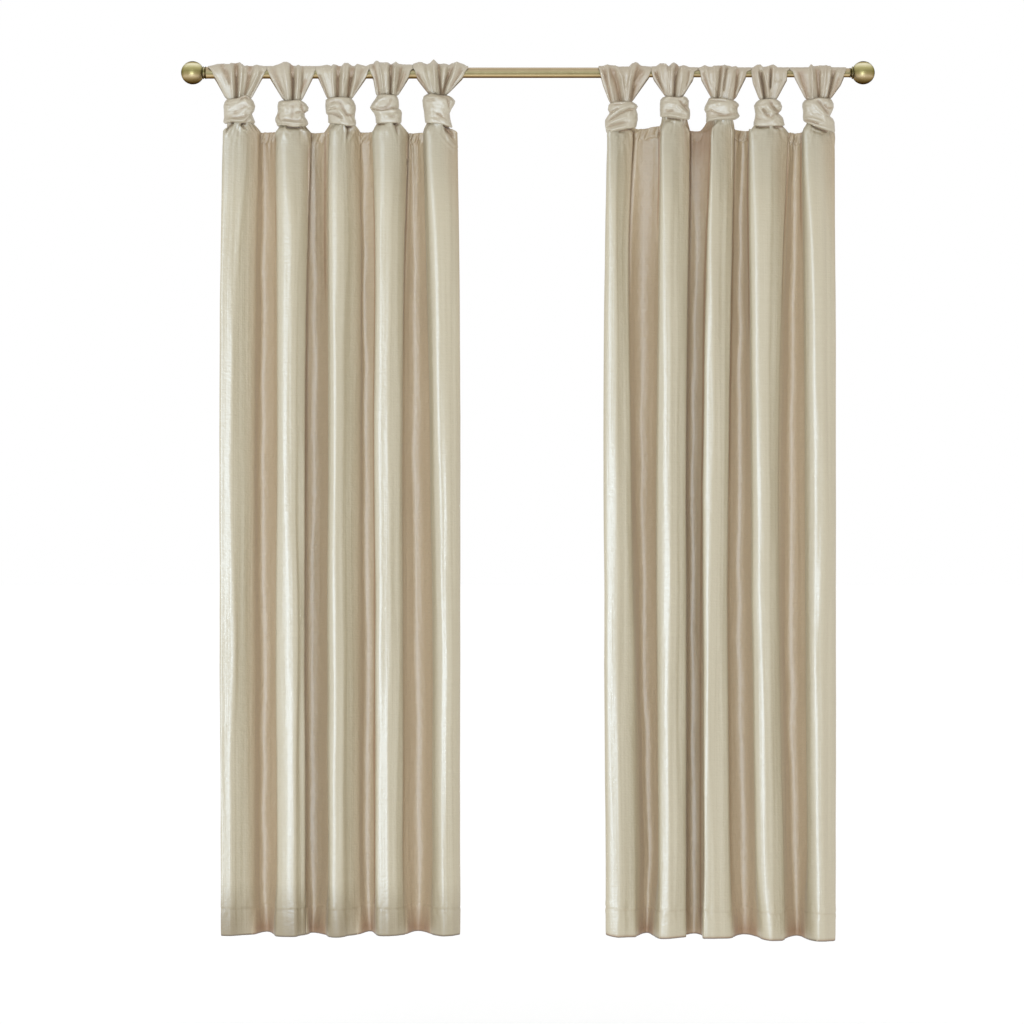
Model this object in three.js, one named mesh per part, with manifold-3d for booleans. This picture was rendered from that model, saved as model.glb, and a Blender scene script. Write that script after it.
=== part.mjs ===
// Pair of tab-top blackout curtain panels hung from one brass rod with ball ends.
// Millimetres, +Z up, +X to the right as seen from the room, +Y away from the room.
// The origin is the middle of the rod, on its axis.
import * as THREE from "three";
import Module from "manifold-3d";

const wasm = await Module();
wasm.setup();
const { Manifold, Mesh } = wasm;

// ---------------------------------------------------------------- rod and finials
const ROD_OUTER_D = 28.6; // left tube, 1 1/8 in
const ROD_MIDDLE_D = 25.4; // middle tube, 1 in
const ROD_INNER_D = 22.2; // right tube, 7/8 in
const TUBE_WALL = 1.1;
const ROD_LEFT_END = -786; // X of the left tube's outer end
const ROD_RIGHT_END = 786; // X of the right tube's outer end
const OUTER_TUBE_END = -214; // mouth of the left tube, behind the fifth tab
const MIDDLE_TUBE_END = 232; // mouth of the middle tube, behind the sixth tab
const TUBE_OVERLAP = 70; // length of each tube inside the next
const ROD_FACETS = 32;
const COLLAR_STEP = 1.6; // how much thicker than the tube the collar's first ring is
const COLLAR_STEP_WIDTH = 3.6;
const COLLAR_D = 31; // the collar's flange against the ball
const COLLAR_WIDTH = 4;
const PLUG_LENGTH = 18; // the collar's plug inside the tube
const BALL_D = 56.4;
const BALL_CENTRE_X = 819.4;
const PIECE_GAP = 0.3;

// ---------------------------------------------------------------- cloth
const PANEL_THICK = 2;
const TAB_THICK = 2.2;
const TAB_CLEARANCE = 2.2; // between the rod and the inside of a tab
const HEADING_Z = -146; // top edge of both panels
const HEM_Z_LEFT = -2105;
const HEM_Z_RIGHT = -2113;

// Heights at which the fold tables below give X.
const LEVEL_Z = [-150, -225, -433, -873, -1435, -1948, -2110];
// Rows of the panel's surface, as shares of its drop.
const PANEL_ROWS = [0, 0.04, 0.13, 0.35, 0.62, 0.87, 1];
// Share of the full fold depth, by share of the drop.
const DEPTH_GROWTH = [
  // drop, share
  [0, 0.8],
  [0.06, 0.88],
  [0.2, 1],
  [1, 1.04],
];

// Depths in Y (negative is towards the room).
const SIDE_Y = -22; // left and right turn of a fold
const NECK_Y = 2; // where a fold leaves its valley
const EDGE_Y = 9; // free side edges, turned back

// One fold: X of its left turn, crest and right turn at each level; how far the
// cloth tucks in behind the left and the right turn; the crest's depth in Y.
// One valley: X of its floor at each level and the floor's depth in Y.
const LEFT_PANEL = {
  folds: [
    { left: [-742, -744, -747, -749, -749, -746, -747], crest: [-727, -727, -730, -733, -733, -731, -729], right: [-687, -689, -699, -704, -706, -706, -704], tuckL: 9, tuckR: -22, y: -41 },
    { left: [-614, -614, -611, -610, -611, -609, -612], crest: [-588, -588, -587, -588, -582, -580, -575], right: [-531, -532, -538, -543, -544, -544, -544], tuckL: 2.5, tuckR: 6, y: -45 },
    { left: [-482, -486, -487, -485, -488, -485, -487], crest: [-469, -471, -471, -470, -469, -470, -464], right: [-443, -443, -438, -441, -441, -441, -438], tuckL: 2.5, tuckR: -18, y: -41 },
    { left: [-379, -377, -370, -373, -370, -371, -367], crest: [-360, -357, -354, -357, -354, -354, -348], right: [-293, -294, -301, -307, -305, -306, -304], tuckL: 6, tuckR: 0, y: -46 },
    { left: [-255, -253, -247, -238, -231, -232, -231], crest: [-224, -224, -219, -216, -210, -207, -204], right: [-173, -172, -169, -166, -165, -166, -167], tuckL: 1, tuckR: 9, y: -44 },
  ],
  valleys: [
    { x: [-645, -643, -642, -644, -645, -645, -640], y: 40 },
    { x: [-525, -525, -525, -525, -527, -525, -523], y: 43 },
    { x: [-399, -397, -397, -396, -392, -390, -385], y: 37 },
    { x: [-285, -283, -279, -278, -272, -269, -271], y: 42 },
  ],
  hemZ: HEM_Z_LEFT,
};
const RIGHT_PANEL = {
  folds: [
    { left: [194, 192, 188, 185, 187, 191, 191], crest: [207, 207, 204, 204, 204, 210, 214], right: [261, 259, 245, 246, 247, 249, 249], tuckL: 9, tuckR: 2, y: -42 },
    { left: [326, 324, 319, 313, 315, 319, 314], crest: [343, 343, 338, 337, 337, 335, 330], right: [395, 396, 391, 385, 383, 382, 383], tuckL: 1, tuckR: 6, y: -45 },
    { left: [446, 444, 436, 427, 427, 427, 424], crest: [459, 458, 451, 444, 443, 443, 443], right: [504, 504, 498, 490, 486, 492, 497], tuckL: 4, tuckR: 2, y: -43 },
    { left: [539, 539, 540, 544, 548, 557, 570], crest: [558, 558, 558, 562, 571, 580, 590], right: [634, 631, 622, 610, 608, 616, 619], tuckL: 2, tuckR: -5, y: -46 },
    { left: [669, 670, 673, 676, 679, 682, 687], crest: [693, 693, 695, 699, 699, 708, 710], right: [750, 750, 750, 751, 751, 751, 750], tuckL: 1, tuckR: 9, y: -43 },
  ],
  valleys: [
    { x: [285, 286, 288, 280, 290, 292, 287], y: 38 },
    { x: [412, 412, 413, 405, 403, 407, 406], y: 44 },
    { x: [525, 525, 521, 518, 518, 529, 530], y: 40 },
    { x: [655, 655, 652, 646, 646, 654, 658], y: 39 },
  ],
  hemZ: HEM_Z_RIGHT,
};

// One tab: X of the fan's two sides over the rod and where the knot grips it;
// Z of the knot's top and bottom; X of the knot's two sides at five heights, top
// to bottom; places of the fan's pleat ridges across it (0 left, 1 right) and
// how far each stands off the rod; the rod tube under the tab.
const TABS = [
  { panel: LEFT_PANEL, side: "left", fold: 0, fan: [-780, -639, -736, -676], top: -67, bottom: -128, left: [-741, -744, -742, -743, -739], right: [-676, -669, -673, -666, -669], ridges: [[0.14, 5], [0.42, 4], [0.6, 6], [0.84, 4]], rodD: ROD_OUTER_D },
  { panel: LEFT_PANEL, side: "left", fold: 1, fan: [-637, -522, -596, -552], top: -70, bottom: -135, left: [-610, -613, -612, -617, -612], right: [-549, -534, -551, -551, -551], ridges: [[0.2, 3], [0.42, 8], [0.75, 4]], rodD: ROD_OUTER_D },
  { panel: LEFT_PANEL, side: "left", fold: 2, fan: [-517, -386, -489, -429], top: -63, bottom: -132, left: [-490, -495, -493, -493, -489], right: [-427, -420, -423, -420, -420], ridges: [[0.34, 4], [0.57, 8], [0.78, 4]], rodD: ROD_OUTER_D },
  { panel: LEFT_PANEL, side: "left", fold: 3, fan: [-385, -281, -370, -318], top: -56, bottom: -126, left: [-371, -384, -376, -375, -373], right: [-318, -315, -315, -308, -308], ridges: [[0.15, 9], [0.6, 8]], rodD: ROD_OUTER_D },
  { panel: LEFT_PANEL, side: "left", fold: 4, fan: [-280, -146, -242, -198], top: -53, bottom: -132, left: [-251, -258, -254, -251, -249], right: [-193, -177, -190, -191, -185], ridges: [[0.12, 4], [0.37, 10], [0.8, 6]], rodD: ROD_OUTER_D },
  { panel: RIGHT_PANEL, side: "right", fold: 0, fan: [171, 298, 201, 253], top: -74, bottom: -139, left: [198, 195, 191, 187, 189], right: [254, 266, 266, 268, 266], ridges: [[0.18, 4], [0.45, 3], [0.72, 8]], rodD: ROD_MIDDLE_D },
  { panel: RIGHT_PANEL, side: "right", fold: 1, fan: [302, 411, 337, 377], top: -60, bottom: -117, left: [330, 322, 324, 325, 327], right: [378, 396, 388, 396, 393], ridges: [[0.25, 8], [0.5, 9], [0.8, 4]], rodD: ROD_INNER_D },
  { panel: RIGHT_PANEL, side: "right", fold: 2, fan: [419, 544, 447, 505], top: -63, bottom: -125, left: [439, 431, 436, 432, 435], right: [505, 517, 510, 517, 515], ridges: [[0.1, 5], [0.44, 7], [0.7, 5]], rodD: ROD_INNER_D },
  { panel: RIGHT_PANEL, side: "right", fold: 3, fan: [546, 634, 565, 606], top: -66, bottom: -133, left: [559, 552, 553, 552, 554], right: [608, 620, 611, 626, 623], ridges: [[0.18, 7], [0.62, 7]], rodD: ROD_INNER_D },
  { panel: RIGHT_PANEL, side: "right", fold: 4, fan: [645, 777, 679, 738], top: -66, bottom: -136, left: [674, 669, 671, 671, 674], right: [740, 747, 737, 748, 747], ridges: [[0.35, 8], [0.58, 7], [0.8, 5]], rodD: ROD_INNER_D },
];
const KNOT_DEPTH = [16, 24, 21, 25, 20]; // half depth in Y at the five heights
const KNOT_SIDES = 10;
const KNOT_CENTRE_Y = -3;
const FAN_FRONT_FOOT_Y = -9; // fan's front and back strips inside the knot
const FAN_BACK_FOOT_Y = 6;
const BASE_GAP = 0.6; // seam gap between a tab's foot and its panel

// ---------------------------------------------------------------- helpers
const mix = (a, b, t) => a + (b - a) * t;

// Smooth curve through values given at uneven places.
function curveAt(places, values, p) {
  const rising = places[1] > places[0];
  let i = 0;
  while (
    i < places.length - 2 &&
    (rising ? p > places[i + 1] : p < places[i + 1])
  )
    i++;
  const slope = (k) => {
    const a = Math.max(0, k - 1),
      b = Math.min(places.length - 1, k + 1);
    return (values[b] - values[a]) / (places[b] - places[a]);
  };
  const h = places[i + 1] - places[i];
  const t = Math.min(1, Math.max(0, (p - places[i]) / h));
  const t2 = t * t,
    t3 = t2 * t;
  return (
    (2 * t3 - 3 * t2 + 1) * values[i] +
    (t3 - 2 * t2 + t) * h * slope(i) +
    (-2 * t3 + 3 * t2) * values[i + 1] +
    (t3 - t2) * h * slope(i + 1)
  );
}

// Point on a rounded curve through points in a plane, at a place counted in points.
function throughPoints(points, place) {
  const last = points.length - 1;
  const i = Math.min(last - 1, Math.floor(place));
  const t = place - i;
  const p = [i - 1, i, i + 1, i + 2].map(
    (k) => points[Math.min(last, Math.max(0, k))],
  );
  return [0, 1].map((c) => {
    const m1 = (p[2][c] - p[0][c]) * 0.45,
      m2 = (p[3][c] - p[1][c]) * 0.45;
    const t2 = t * t,
      t3 = t2 * t;
    return (
      (2 * t3 - 3 * t2 + 1) * p[1][c] +
      (t3 - 2 * t2 + t) * m1 +
      (-2 * t3 + 3 * t2) * p[2][c] +
      (t3 - t2) * m2
    );
  });
}

// A sheet of even thickness about a grid of points, as one closed body.
function sheet(grid, thick) {
  const rows = grid.length,
    cols = grid[0].length;
  const at = (r, c) =>
    grid[Math.min(rows - 1, Math.max(0, r))][Math.min(cols - 1, Math.max(0, c))];
  const positions = [],
    triangles = [];
  for (const s of [1, -1])
    for (let r = 0; r < rows; r++)
      for (let c = 0; c < cols; c++) {
        const across = new THREE.Vector3().subVectors(at(r, c + 1), at(r, c - 1));
        const down = new THREE.Vector3().subVectors(at(r + 1, c), at(r - 1, c));
        const n = new THREE.Vector3().crossVectors(across, down).normalize();
        const p = grid[r][c].clone().addScaledVector(n, (s * thick) / 2);
        positions.push(p.x, p.y, p.z);
      }
  const A = (r, c) => r * cols + c,
    B = (r, c) => rows * cols + r * cols + c;
  for (let r = 0; r + 1 < rows; r++)
    for (let c = 0; c + 1 < cols; c++) {
      triangles.push(A(r, c), A(r, c + 1), A(r + 1, c + 1));
      triangles.push(A(r, c), A(r + 1, c + 1), A(r + 1, c));
      triangles.push(B(r, c), B(r + 1, c + 1), B(r, c + 1));
      triangles.push(B(r, c), B(r + 1, c), B(r + 1, c + 1));
    }
  const rim = [];
  for (let c = 0; c < cols - 1; c++) rim.push([0, c]);
  for (let r = 0; r < rows - 1; r++) rim.push([r, cols - 1]);
  for (let c = cols - 1; c > 0; c--) rim.push([rows - 1, c]);
  for (let r = rows - 1; r > 0; r--) rim.push([r, 0]);
  rim.forEach((a, k) => {
    const b = rim[(k + 1) % rim.length];
    triangles.push(A(...b), A(...a), B(...a));
    triangles.push(A(...b), B(...a), B(...b));
  });
  return { positions, triangles };
}

// A solid through rings of points, top ring first, each ring anticlockwise from above.
function throughRings(rings) {
  const n = rings[0].length;
  const positions = [],
    triangles = [];
  for (const ring of rings) for (const p of ring) positions.push(...p);
  const at = (k, j) => k * n + (j % n);
  for (let k = 0; k + 1 < rings.length; k++)
    for (let j = 0; j < n; j++) {
      triangles.push(at(k + 1, j), at(k + 1, j + 1), at(k, j + 1));
      triangles.push(at(k + 1, j), at(k, j + 1), at(k, j));
    }
  for (const [k, up] of [[0, 1], [rings.length - 1, 0]]) {
    const centre = positions.length / 3;
    for (const c of [0, 1, 2])
      positions.push(rings[k].reduce((s, p) => s + p[c], 0) / n);
    for (let j = 0; j < n; j++)
      up
        ? triangles.push(centre, at(k, j), at(k, j + 1))
        : triangles.push(centre, at(k, j + 1), at(k, j));
  }
  return { positions, triangles };
}

// A body turned about the X axis. The profile lists [x, radius] and runs to +X
// along its outside; one flat side of the facets looks straight down.
function turned(profile, facets, loop) {
  const positions = [],
    triangles = [],
    rings = [];
  for (const [x, r] of profile) {
    const ring = [];
    for (let j = 0; j < facets; j++) {
      const a = ((j + 0.5) / facets) * 2 * Math.PI;
      if (r > 0 || j === 0) {
        ring.push(positions.length / 3);
        positions.push(x, r * Math.sin(a), -r * Math.cos(a));
      } else ring.push(ring[0]);
    }
    rings.push(ring);
  }
  const count = loop ? rings.length : rings.length - 1;
  for (let i = 0; i < count; i++) {
    const a = rings[i],
      b = rings[(i + 1) % rings.length];
    for (let j = 0; j < facets; j++) {
      const k = (j + 1) % facets;
      if (a[j] !== a[k]) triangles.push(a[j], a[k], b[k]);
      if (b[j] !== b[k]) triangles.push(a[j], b[k], b[j]);
    }
  }
  return { positions, triangles };
}

const solid = ({ positions, triangles }) =>
  new Manifold(
    new Mesh({
      numProp: 3,
      vertProperties: new Float32Array(positions),
      triVerts: new Uint32Array(triangles),
    }),
  );

function geometryOf({ positions, triangles }) {
  const g = new THREE.BufferGeometry();
  g.setAttribute("position", new THREE.Float32BufferAttribute(positions, 3));
  g.setIndex(triangles);
  return g;
}

// ---------------------------------------------------------------- finishes
const cloth = () =>
  new THREE.MeshStandardMaterial({ color: 0xc4b99d, roughness: 0.48, metalness: 0 });
const brass = () =>
  new THREE.MeshStandardMaterial({ color: 0xb39a66, roughness: 0.34, metalness: 1 });

const group = new THREE.Group();
group.name = "curtains_on_rod";
function add(name, body, material) {
  const mesh = new THREE.Mesh(geometryOf(body), material);
  mesh.name = name;
  group.add(mesh);
}

// ---------------------------------------------------------------- panels
const growth = (drop) =>
  curveAt(DEPTH_GROWTH.map((g) => g[0]), DEPTH_GROWTH.map((g) => g[1]), drop);

// The panel's cross-section at one height, left edge to right edge, as [x, y]
// points, with the place of each fold's turns in that list.
function section(panel, z) {
  const drop = (HEADING_Z - z) / (HEADING_Z - panel.hemZ);
  const g = growth(drop);
  const x = (list) => curveAt(LEVEL_Z, list, z);
  const points = [],
    turns = [];
  panel.folds.forEach((f, i) => {
    const L = x(f.left),
      C = x(f.crest),
      R = x(f.right);
    const last = i === panel.folds.length - 1;
    points.push([L + f.tuckL, i === 0 ? EDGE_Y : NECK_Y]);
    turns.push([points.length, points.length + 3]);
    points.push([L, (i === 0 ? -13 : SIDE_Y) * g]);
    points.push([C, f.y * g]);
    points.push([mix(C, R, 0.62), (f.y + 3) * g]);
    points.push([R, (last ? -14 : SIDE_Y - 3) * g]);
    points.push([R - f.tuckR, last ? EDGE_Y : NECK_Y - 3]);
    if (!last) {
      const v = panel.valleys[i];
      points.push([x(v.x), v.y * g]);
    }
  });
  return { points, turns };
}

function panelBody(panel) {
  const grid = PANEL_ROWS.map((share) => {
    const z = mix(HEADING_Z, panel.hemZ, share);
    const { points } = section(panel, z);
    const row = [];
    for (let k = 0; k <= (points.length - 1) * 2; k++) {
      const [x, y] = throughPoints(points, k / 2);
      row.push(new THREE.Vector3(x, y, z));
    }
    return row;
  });
  return sheet(grid, PANEL_THICK);
}

add("panel_left", panelBody(LEFT_PANEL), cloth());
add("panel_right", panelBody(RIGHT_PANEL), cloth());

// ---------------------------------------------------------------- tabs
function tabSolid(tab) {
  const ring = tab.rodD / 2 + TAB_CLEARANCE + TAB_THICK / 2; // over the rod, mid-cloth
  const [topL, topR, gripL, gripR] = tab.fan;

  // the fan: up the front from the knot, over the rod and down the back
  const path = [
    [FAN_FRONT_FOOT_Y, tab.top - 14],
    [mix(FAN_FRONT_FOOT_Y, -ring, 0.35), mix(tab.top, 0, 0.3)],
    [-ring, -12],
  ];
  for (const deg of [180, 135, 90, 45, 0])
    path.push([
      ring * Math.cos((deg * Math.PI) / 180),
      ring * Math.sin((deg * Math.PI) / 180),
    ]);
  path.push([ring, -12]);
  path.push([mix(FAN_BACK_FOOT_Y, ring, 0.35), mix(tab.top, 0, 0.3)]);
  path.push([FAN_BACK_FOOT_Y, tab.top - 14]);

  const columns = [[0, 0]];
  tab.ridges.forEach(([u, h], i) => {
    if (i > 0) columns.push([(tab.ridges[i - 1][0] + u) / 2, 0]);
    columns.push([u, h]);
  });
  columns.push([1, 1]);

  const fan = path.map(([y, z], r) => {
    const rise = Math.min(1, Math.max(0, (z - tab.top) / (18 - tab.top)));
    const L = mix(gripL, topL, rise),
      R = mix(gripR, topR, rise);
    const before = path[Math.max(0, r - 1)],
      after = path[Math.min(path.length - 1, r + 1)];
    const ty = after[0] - before[0],
      tz = after[1] - before[1],
      len = Math.hypot(ty, tz);
    return columns.map(([u, h]) => {
      const off = h * mix(0.3, 1, rise);
      return new THREE.Vector3(
        mix(L, R, u),
        y - (tz / len) * off,
        z + (ty / len) * off,
      );
    });
  });

  // the knot: the same strip wound round its own neck
  const rings = KNOT_DEPTH.map((depth, k) => {
    const L = tab.left[k],
      R = tab.right[k];
    const z = mix(tab.top, tab.bottom, k / (KNOT_DEPTH.length - 1));
    const out = [];
    for (let j = 0; j < KNOT_SIDES; j++) {
      const a = (j / KNOT_SIDES) * 2 * Math.PI;
      const ca = Math.cos(a),
        sa = Math.sin(a);
      out.push([
        (L + R) / 2 + ((R - L) / 2) * Math.sign(ca) * Math.abs(ca) ** 0.7,
        KNOT_CENTRE_Y + depth * Math.sign(sa) * Math.abs(sa) ** 0.7,
        z,
      ]);
    }
    return out;
  });

  // the foot: out of the knot and down to the panel's top edge
  const { points, turns } = section(tab.panel, HEADING_Z);
  const [from, to] = turns[tab.fold];
  const steps = 5;
  const foot = [
    [tab.bottom + 12, 0],
    [tab.bottom - 1, 0.35],
    [HEADING_Z + 5, 1],
    [HEADING_Z + BASE_GAP, 1],
  ].map(([z, share]) => {
    const row = [];
    for (let k = 0; k <= steps; k++) {
      const u = k / steps;
      const [px, py] = throughPoints(points, mix(from, to, u));
      const nx = mix(tab.left[4] + 6, tab.right[4] - 6, u);
      const ny = -6 - 10 * Math.sin(Math.PI * u);
      row.push(new THREE.Vector3(mix(nx, px, share), mix(ny, py, share), z));
    }
    return row;
  });

  return solid(sheet(fan, TAB_THICK))
    .add(solid(throughRings(rings)))
    .add(solid(sheet(foot, TAB_THICK)));
}

for (const tab of TABS) {
  const m = tabSolid(tab).getMesh();
  add(
    `tab_${tab.side}_${tab.fold + 1}`,
    {
      positions: Array.from(m.vertProperties),
      triangles: Array.from(m.triVerts),
    },
    cloth(),
  );
}

// ---------------------------------------------------------------- rod
const tube = (x0, x1, d) =>
  turned(
    [
      [x0, d / 2],
      [x1, d / 2],
      [x1, d / 2 - TUBE_WALL],
      [x0, d / 2 - TUBE_WALL],
    ],
    ROD_FACETS,
    true,
  );
add("rod_tube_left", tube(ROD_LEFT_END, OUTER_TUBE_END, ROD_OUTER_D), brass());
add(
  "rod_tube_middle",
  tube(OUTER_TUBE_END - TUBE_OVERLAP, MIDDLE_TUBE_END, ROD_MIDDLE_D),
  brass(),
);
add(
  "rod_tube_right",
  tube(MIDDLE_TUBE_END - TUBE_OVERLAP, ROD_RIGHT_END, ROD_INNER_D),
  brass(),
);

// ---------------------------------------------------------------- finials
// Both ends are written for +X and mirrored for -X.
const mirrored = (profile) => profile.map(([x, r]) => [-x, r]).reverse();
const collar = (tubeD) => {
  const x = ROD_RIGHT_END + PIECE_GAP;
  const bore = tubeD / 2 - TUBE_WALL - PIECE_GAP;
  return [
    [x - PLUG_LENGTH, 0],
    [x - PLUG_LENGTH, bore],
    [x, bore],
    [x, (tubeD + COLLAR_STEP) / 2],
    [x + COLLAR_STEP_WIDTH, (tubeD + COLLAR_STEP) / 2],
    [x + COLLAR_STEP_WIDTH, COLLAR_D / 2],
    [x + COLLAR_STEP_WIDTH + COLLAR_WIDTH, COLLAR_D / 2],
    [x + COLLAR_STEP_WIDTH + COLLAR_WIDTH, 0],
  ];
};
const ball = () => {
  const R = BALL_D / 2;
  const flat =
    ROD_RIGHT_END + PIECE_GAP + COLLAR_WIDTH + COLLAR_STEP_WIDTH + PIECE_GAP;
  const start = Math.acos((BALL_CENTRE_X - flat) / R);
  const out = [[flat, 0]];
  for (let k = 0; k <= 14; k++) {
    const a = mix(start, Math.PI, k / 14);
    out.push([
      BALL_CENTRE_X - R * Math.cos(a),
      k === 14 ? 0 : R * Math.sin(a),
    ]);
  }
  return out;
};
add("finial_collar_left", turned(mirrored(collar(ROD_OUTER_D)), ROD_FACETS, false), brass());
add("finial_collar_right", turned(collar(ROD_INNER_D), ROD_FACETS, false), brass());
add("finial_ball_left", turned(mirrored(ball()), ROD_FACETS, false), brass());
add("finial_ball_right", turned(ball(), ROD_FACETS, false), brass());

export default group;
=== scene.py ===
import bpy
import math
import numpy as np
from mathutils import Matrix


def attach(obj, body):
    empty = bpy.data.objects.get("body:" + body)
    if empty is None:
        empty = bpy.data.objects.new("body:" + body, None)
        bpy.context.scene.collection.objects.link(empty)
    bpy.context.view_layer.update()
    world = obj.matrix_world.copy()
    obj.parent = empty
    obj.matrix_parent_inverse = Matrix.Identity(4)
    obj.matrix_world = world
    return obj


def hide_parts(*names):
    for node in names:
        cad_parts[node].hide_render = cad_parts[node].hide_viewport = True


# ------------------------------------------------------------------ frame
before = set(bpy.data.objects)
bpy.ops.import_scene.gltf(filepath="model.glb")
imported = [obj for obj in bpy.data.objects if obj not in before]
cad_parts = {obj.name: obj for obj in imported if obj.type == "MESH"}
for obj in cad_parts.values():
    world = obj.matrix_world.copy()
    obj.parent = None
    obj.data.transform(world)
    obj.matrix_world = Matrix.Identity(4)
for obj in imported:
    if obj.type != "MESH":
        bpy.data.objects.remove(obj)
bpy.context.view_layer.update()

# Front-view table units: one unit is 2.444 mm at the rod's plane, counted from
# the top left of the 1024 unit frame that the camera sees.
UNIT = 2.444
EYE = (-38.9, -7500.0, -1073.4)  # mm
CENTRE = 512.0


def PX(u, y=0.0):
    """X in mm of a table unit seen at depth y."""
    return EYE[0] + (np.asarray(u, float) - CENTRE) * UNIT * (y - EYE[1]) / -EYE[1]


def PZ(v, y=0.0):
    return EYE[2] - (np.asarray(v, float) - CENTRE) * UNIT * (y - EYE[1]) / -EYE[1]


def UX(x, y):
    """Table unit of a point, from its X in mm and its depth."""
    return CENTRE + (x - EYE[0]) / UNIT * -EYE[1] / (y - EYE[1])


def UZ(z, y):
    return CENTRE + (EYE[2] - z) / UNIT * -EYE[1] / (y - EYE[1])


# ------------------------------------------------------------------ camera
cam_data = bpy.data.cameras.new("camera")
cam_data.sensor_width = 36
cam_data.lens = 36 * -EYE[1] / (1024 * UNIT)
cam_data.clip_end = 60
cam = bpy.data.objects.new("camera", cam_data)
cam.location = [v / 1000 for v in EYE]
cam.rotation_euler = (math.pi / 2, 0, 0)
bpy.context.scene.collection.objects.link(cam)
bpy.context.scene.camera = cam


# ------------------------------------------------------------------ numbers
def mix(a, b, t):
    return a + (b - a) * t


def smooth(t):
    t = np.clip(t, 0, 1)
    return t * t * (3 - 2 * t)


def curve_at(places, values, p):
    """Smooth curve through values at uneven, rising places."""
    places, values = np.asarray(places, float), np.asarray(values, float)
    if places[0] > places[-1]:
        places, values = places[::-1], values[::-1]
    p = np.clip(np.asarray(p, float), places[0], places[-1])
    i = np.clip(np.searchsorted(places, p, side="right") - 1, 0, len(places) - 2)
    lo, hi = np.maximum(np.arange(len(places)) - 1, 0), np.minimum(
        np.arange(len(places)) + 1, len(places) - 1
    )
    slope = (values[hi] - values[lo]) / (places[hi] - places[lo])
    h = places[i + 1] - places[i]
    t = (p - places[i]) / h
    t2, t3 = t * t, t * t * t
    return (
        (2 * t3 - 3 * t2 + 1) * values[i]
        + (t3 - 2 * t2 + t) * h * slope[i]
        + (-2 * t3 + 3 * t2) * values[i + 1]
        + (t3 - t2) * h * slope[i + 1]
    )


def wander(p, seed):
    """Smooth, repeatable noise between -1 and 1 along a line."""
    table = np.random.default_rng(seed).uniform(-1, 1, 512)
    p = np.asarray(p, float)
    i = np.floor(p).astype(int)
    t = smooth(p - i)
    return mix(table[i % 512], table[(i + 1) % 512], t)


def wander2(p, q, seed):
    """The same over a plane."""
    table = np.random.default_rng(seed).uniform(-1, 1, (128, 128))
    p, q = np.broadcast_arrays(np.asarray(p, float), np.asarray(q, float))
    i, j = np.floor(p).astype(int), np.floor(q).astype(int)
    s, t = smooth(p - i), smooth(q - j)
    i, j = i % 128, j % 128
    i1, j1 = (i + 1) % 128, (j + 1) % 128
    return mix(
        mix(table[i, j], table[i1, j], s), mix(table[i, j1], table[i1, j1], s), t
    )


def along_line(x, y, line):
    """Distance of points to a line of points, place along it from 0 to 1, and side (+1 on its left as drawn on paper)."""
    line = np.asarray(line, float)
    best = np.full(np.shape(x), 1e9)
    place = np.zeros(np.shape(x))
    side = np.ones(np.shape(x))
    lengths = np.hypot(*(line[1:] - line[:-1]).T)
    total, run = lengths.sum(), 0.0
    for a, b, ln in zip(line[:-1], line[1:], lengths):
        d = b - a
        t = np.clip(((x - a[0]) * d[0] + (y - a[1]) * d[1]) / (ln * ln), 0, 1)
        dist = np.hypot(x - a[0] - t * d[0], y - a[1] - t * d[1])
        near = dist < best
        cross = d[0] * (y - a[1]) - d[1] * (x - a[0])
        best = np.where(near, dist, best)
        place = np.where(near, (run + t * ln) / total, place)
        side = np.where(near, np.where(cross < 0, 1.0, -1.0), side)
        run += ln
    return best, place, side


def relief(x, y, marks):
    """Height in mm at table places from soft ridges, troughs and laps.
    ("r", height, width, line): a ridge, or a trough where the height is negative.
    ("p", height, width, line): the same, of even height to its ends.
    ("l", height, width, line): a lap: the cloth on the line's left stands over the other side."""
    out = np.zeros(np.shape(x))
    for kind, height, width, line in marks:
        d, place, side = along_line(x, y, line)
        if kind == "l":
            ends = smooth(place / 0.15) * smooth((1 - place) / 0.15)
            over = np.exp(-((d / (3.2 * width)) ** 2)) * np.where(side > 0, 1.0, 0.0)
            edge = 0.5 + 0.5 * np.tanh(side * d / (0.28 * width))
            under = np.exp(-((d / (1.4 * width)) ** 2)) * np.where(side > 0, 0.0, -0.45)
            out += height * ends * np.where(side > 0, over * edge * 1.0, under)
        else:
            ends = (
                1.0
                if kind == "p"
                else mix(0.25, 1.0, smooth(place / 0.2) * smooth((1 - place) / 0.2))
            )
            w = width if np.isscalar(width) else mix(width[0], width[1], place)
            if height < 0:
                shape = np.exp(-((d / (0.85 * w)) ** 1.3))
            else:
                shape = np.exp(-((d / w) ** (1.35 if kind == "p" else 2)))
            out += height * ends * shape
    return out


# ------------------------------------------------------------------ meshes
def object_of(name, verts, faces, uvs, material, painted_shade_and_patina=None):
    mesh = bpy.data.meshes.new(name)
    mesh.from_pydata([tuple(v) for v in verts / 1000.0], [], faces)
    layer = mesh.uv_layers.new(name="UVMap")
    idx = np.empty(len(mesh.loops), int)
    mesh.loops.foreach_get("vertex_index", idx)
    layer.data.foreach_set("uv", (uvs[idx] / 1000.0).astype(np.float32).ravel())
    mesh.polygons.foreach_set("use_smooth", [True] * len(mesh.polygons))
    mesh.materials.append(material)
    # the point mark: painted shade on the cloth, patina in the brass grooves
    if painted_shade_and_patina is not None:
        mesh.attributes.new("painted_shade_and_patina", "FLOAT", "POINT").data.foreach_set("value", painted_shade_and_patina.astype(np.float32))
    mesh.validate()
    mesh.update()
    obj = bpy.data.objects.new(name, mesh)
    bpy.context.scene.collection.objects.link(obj)
    return obj


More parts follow.
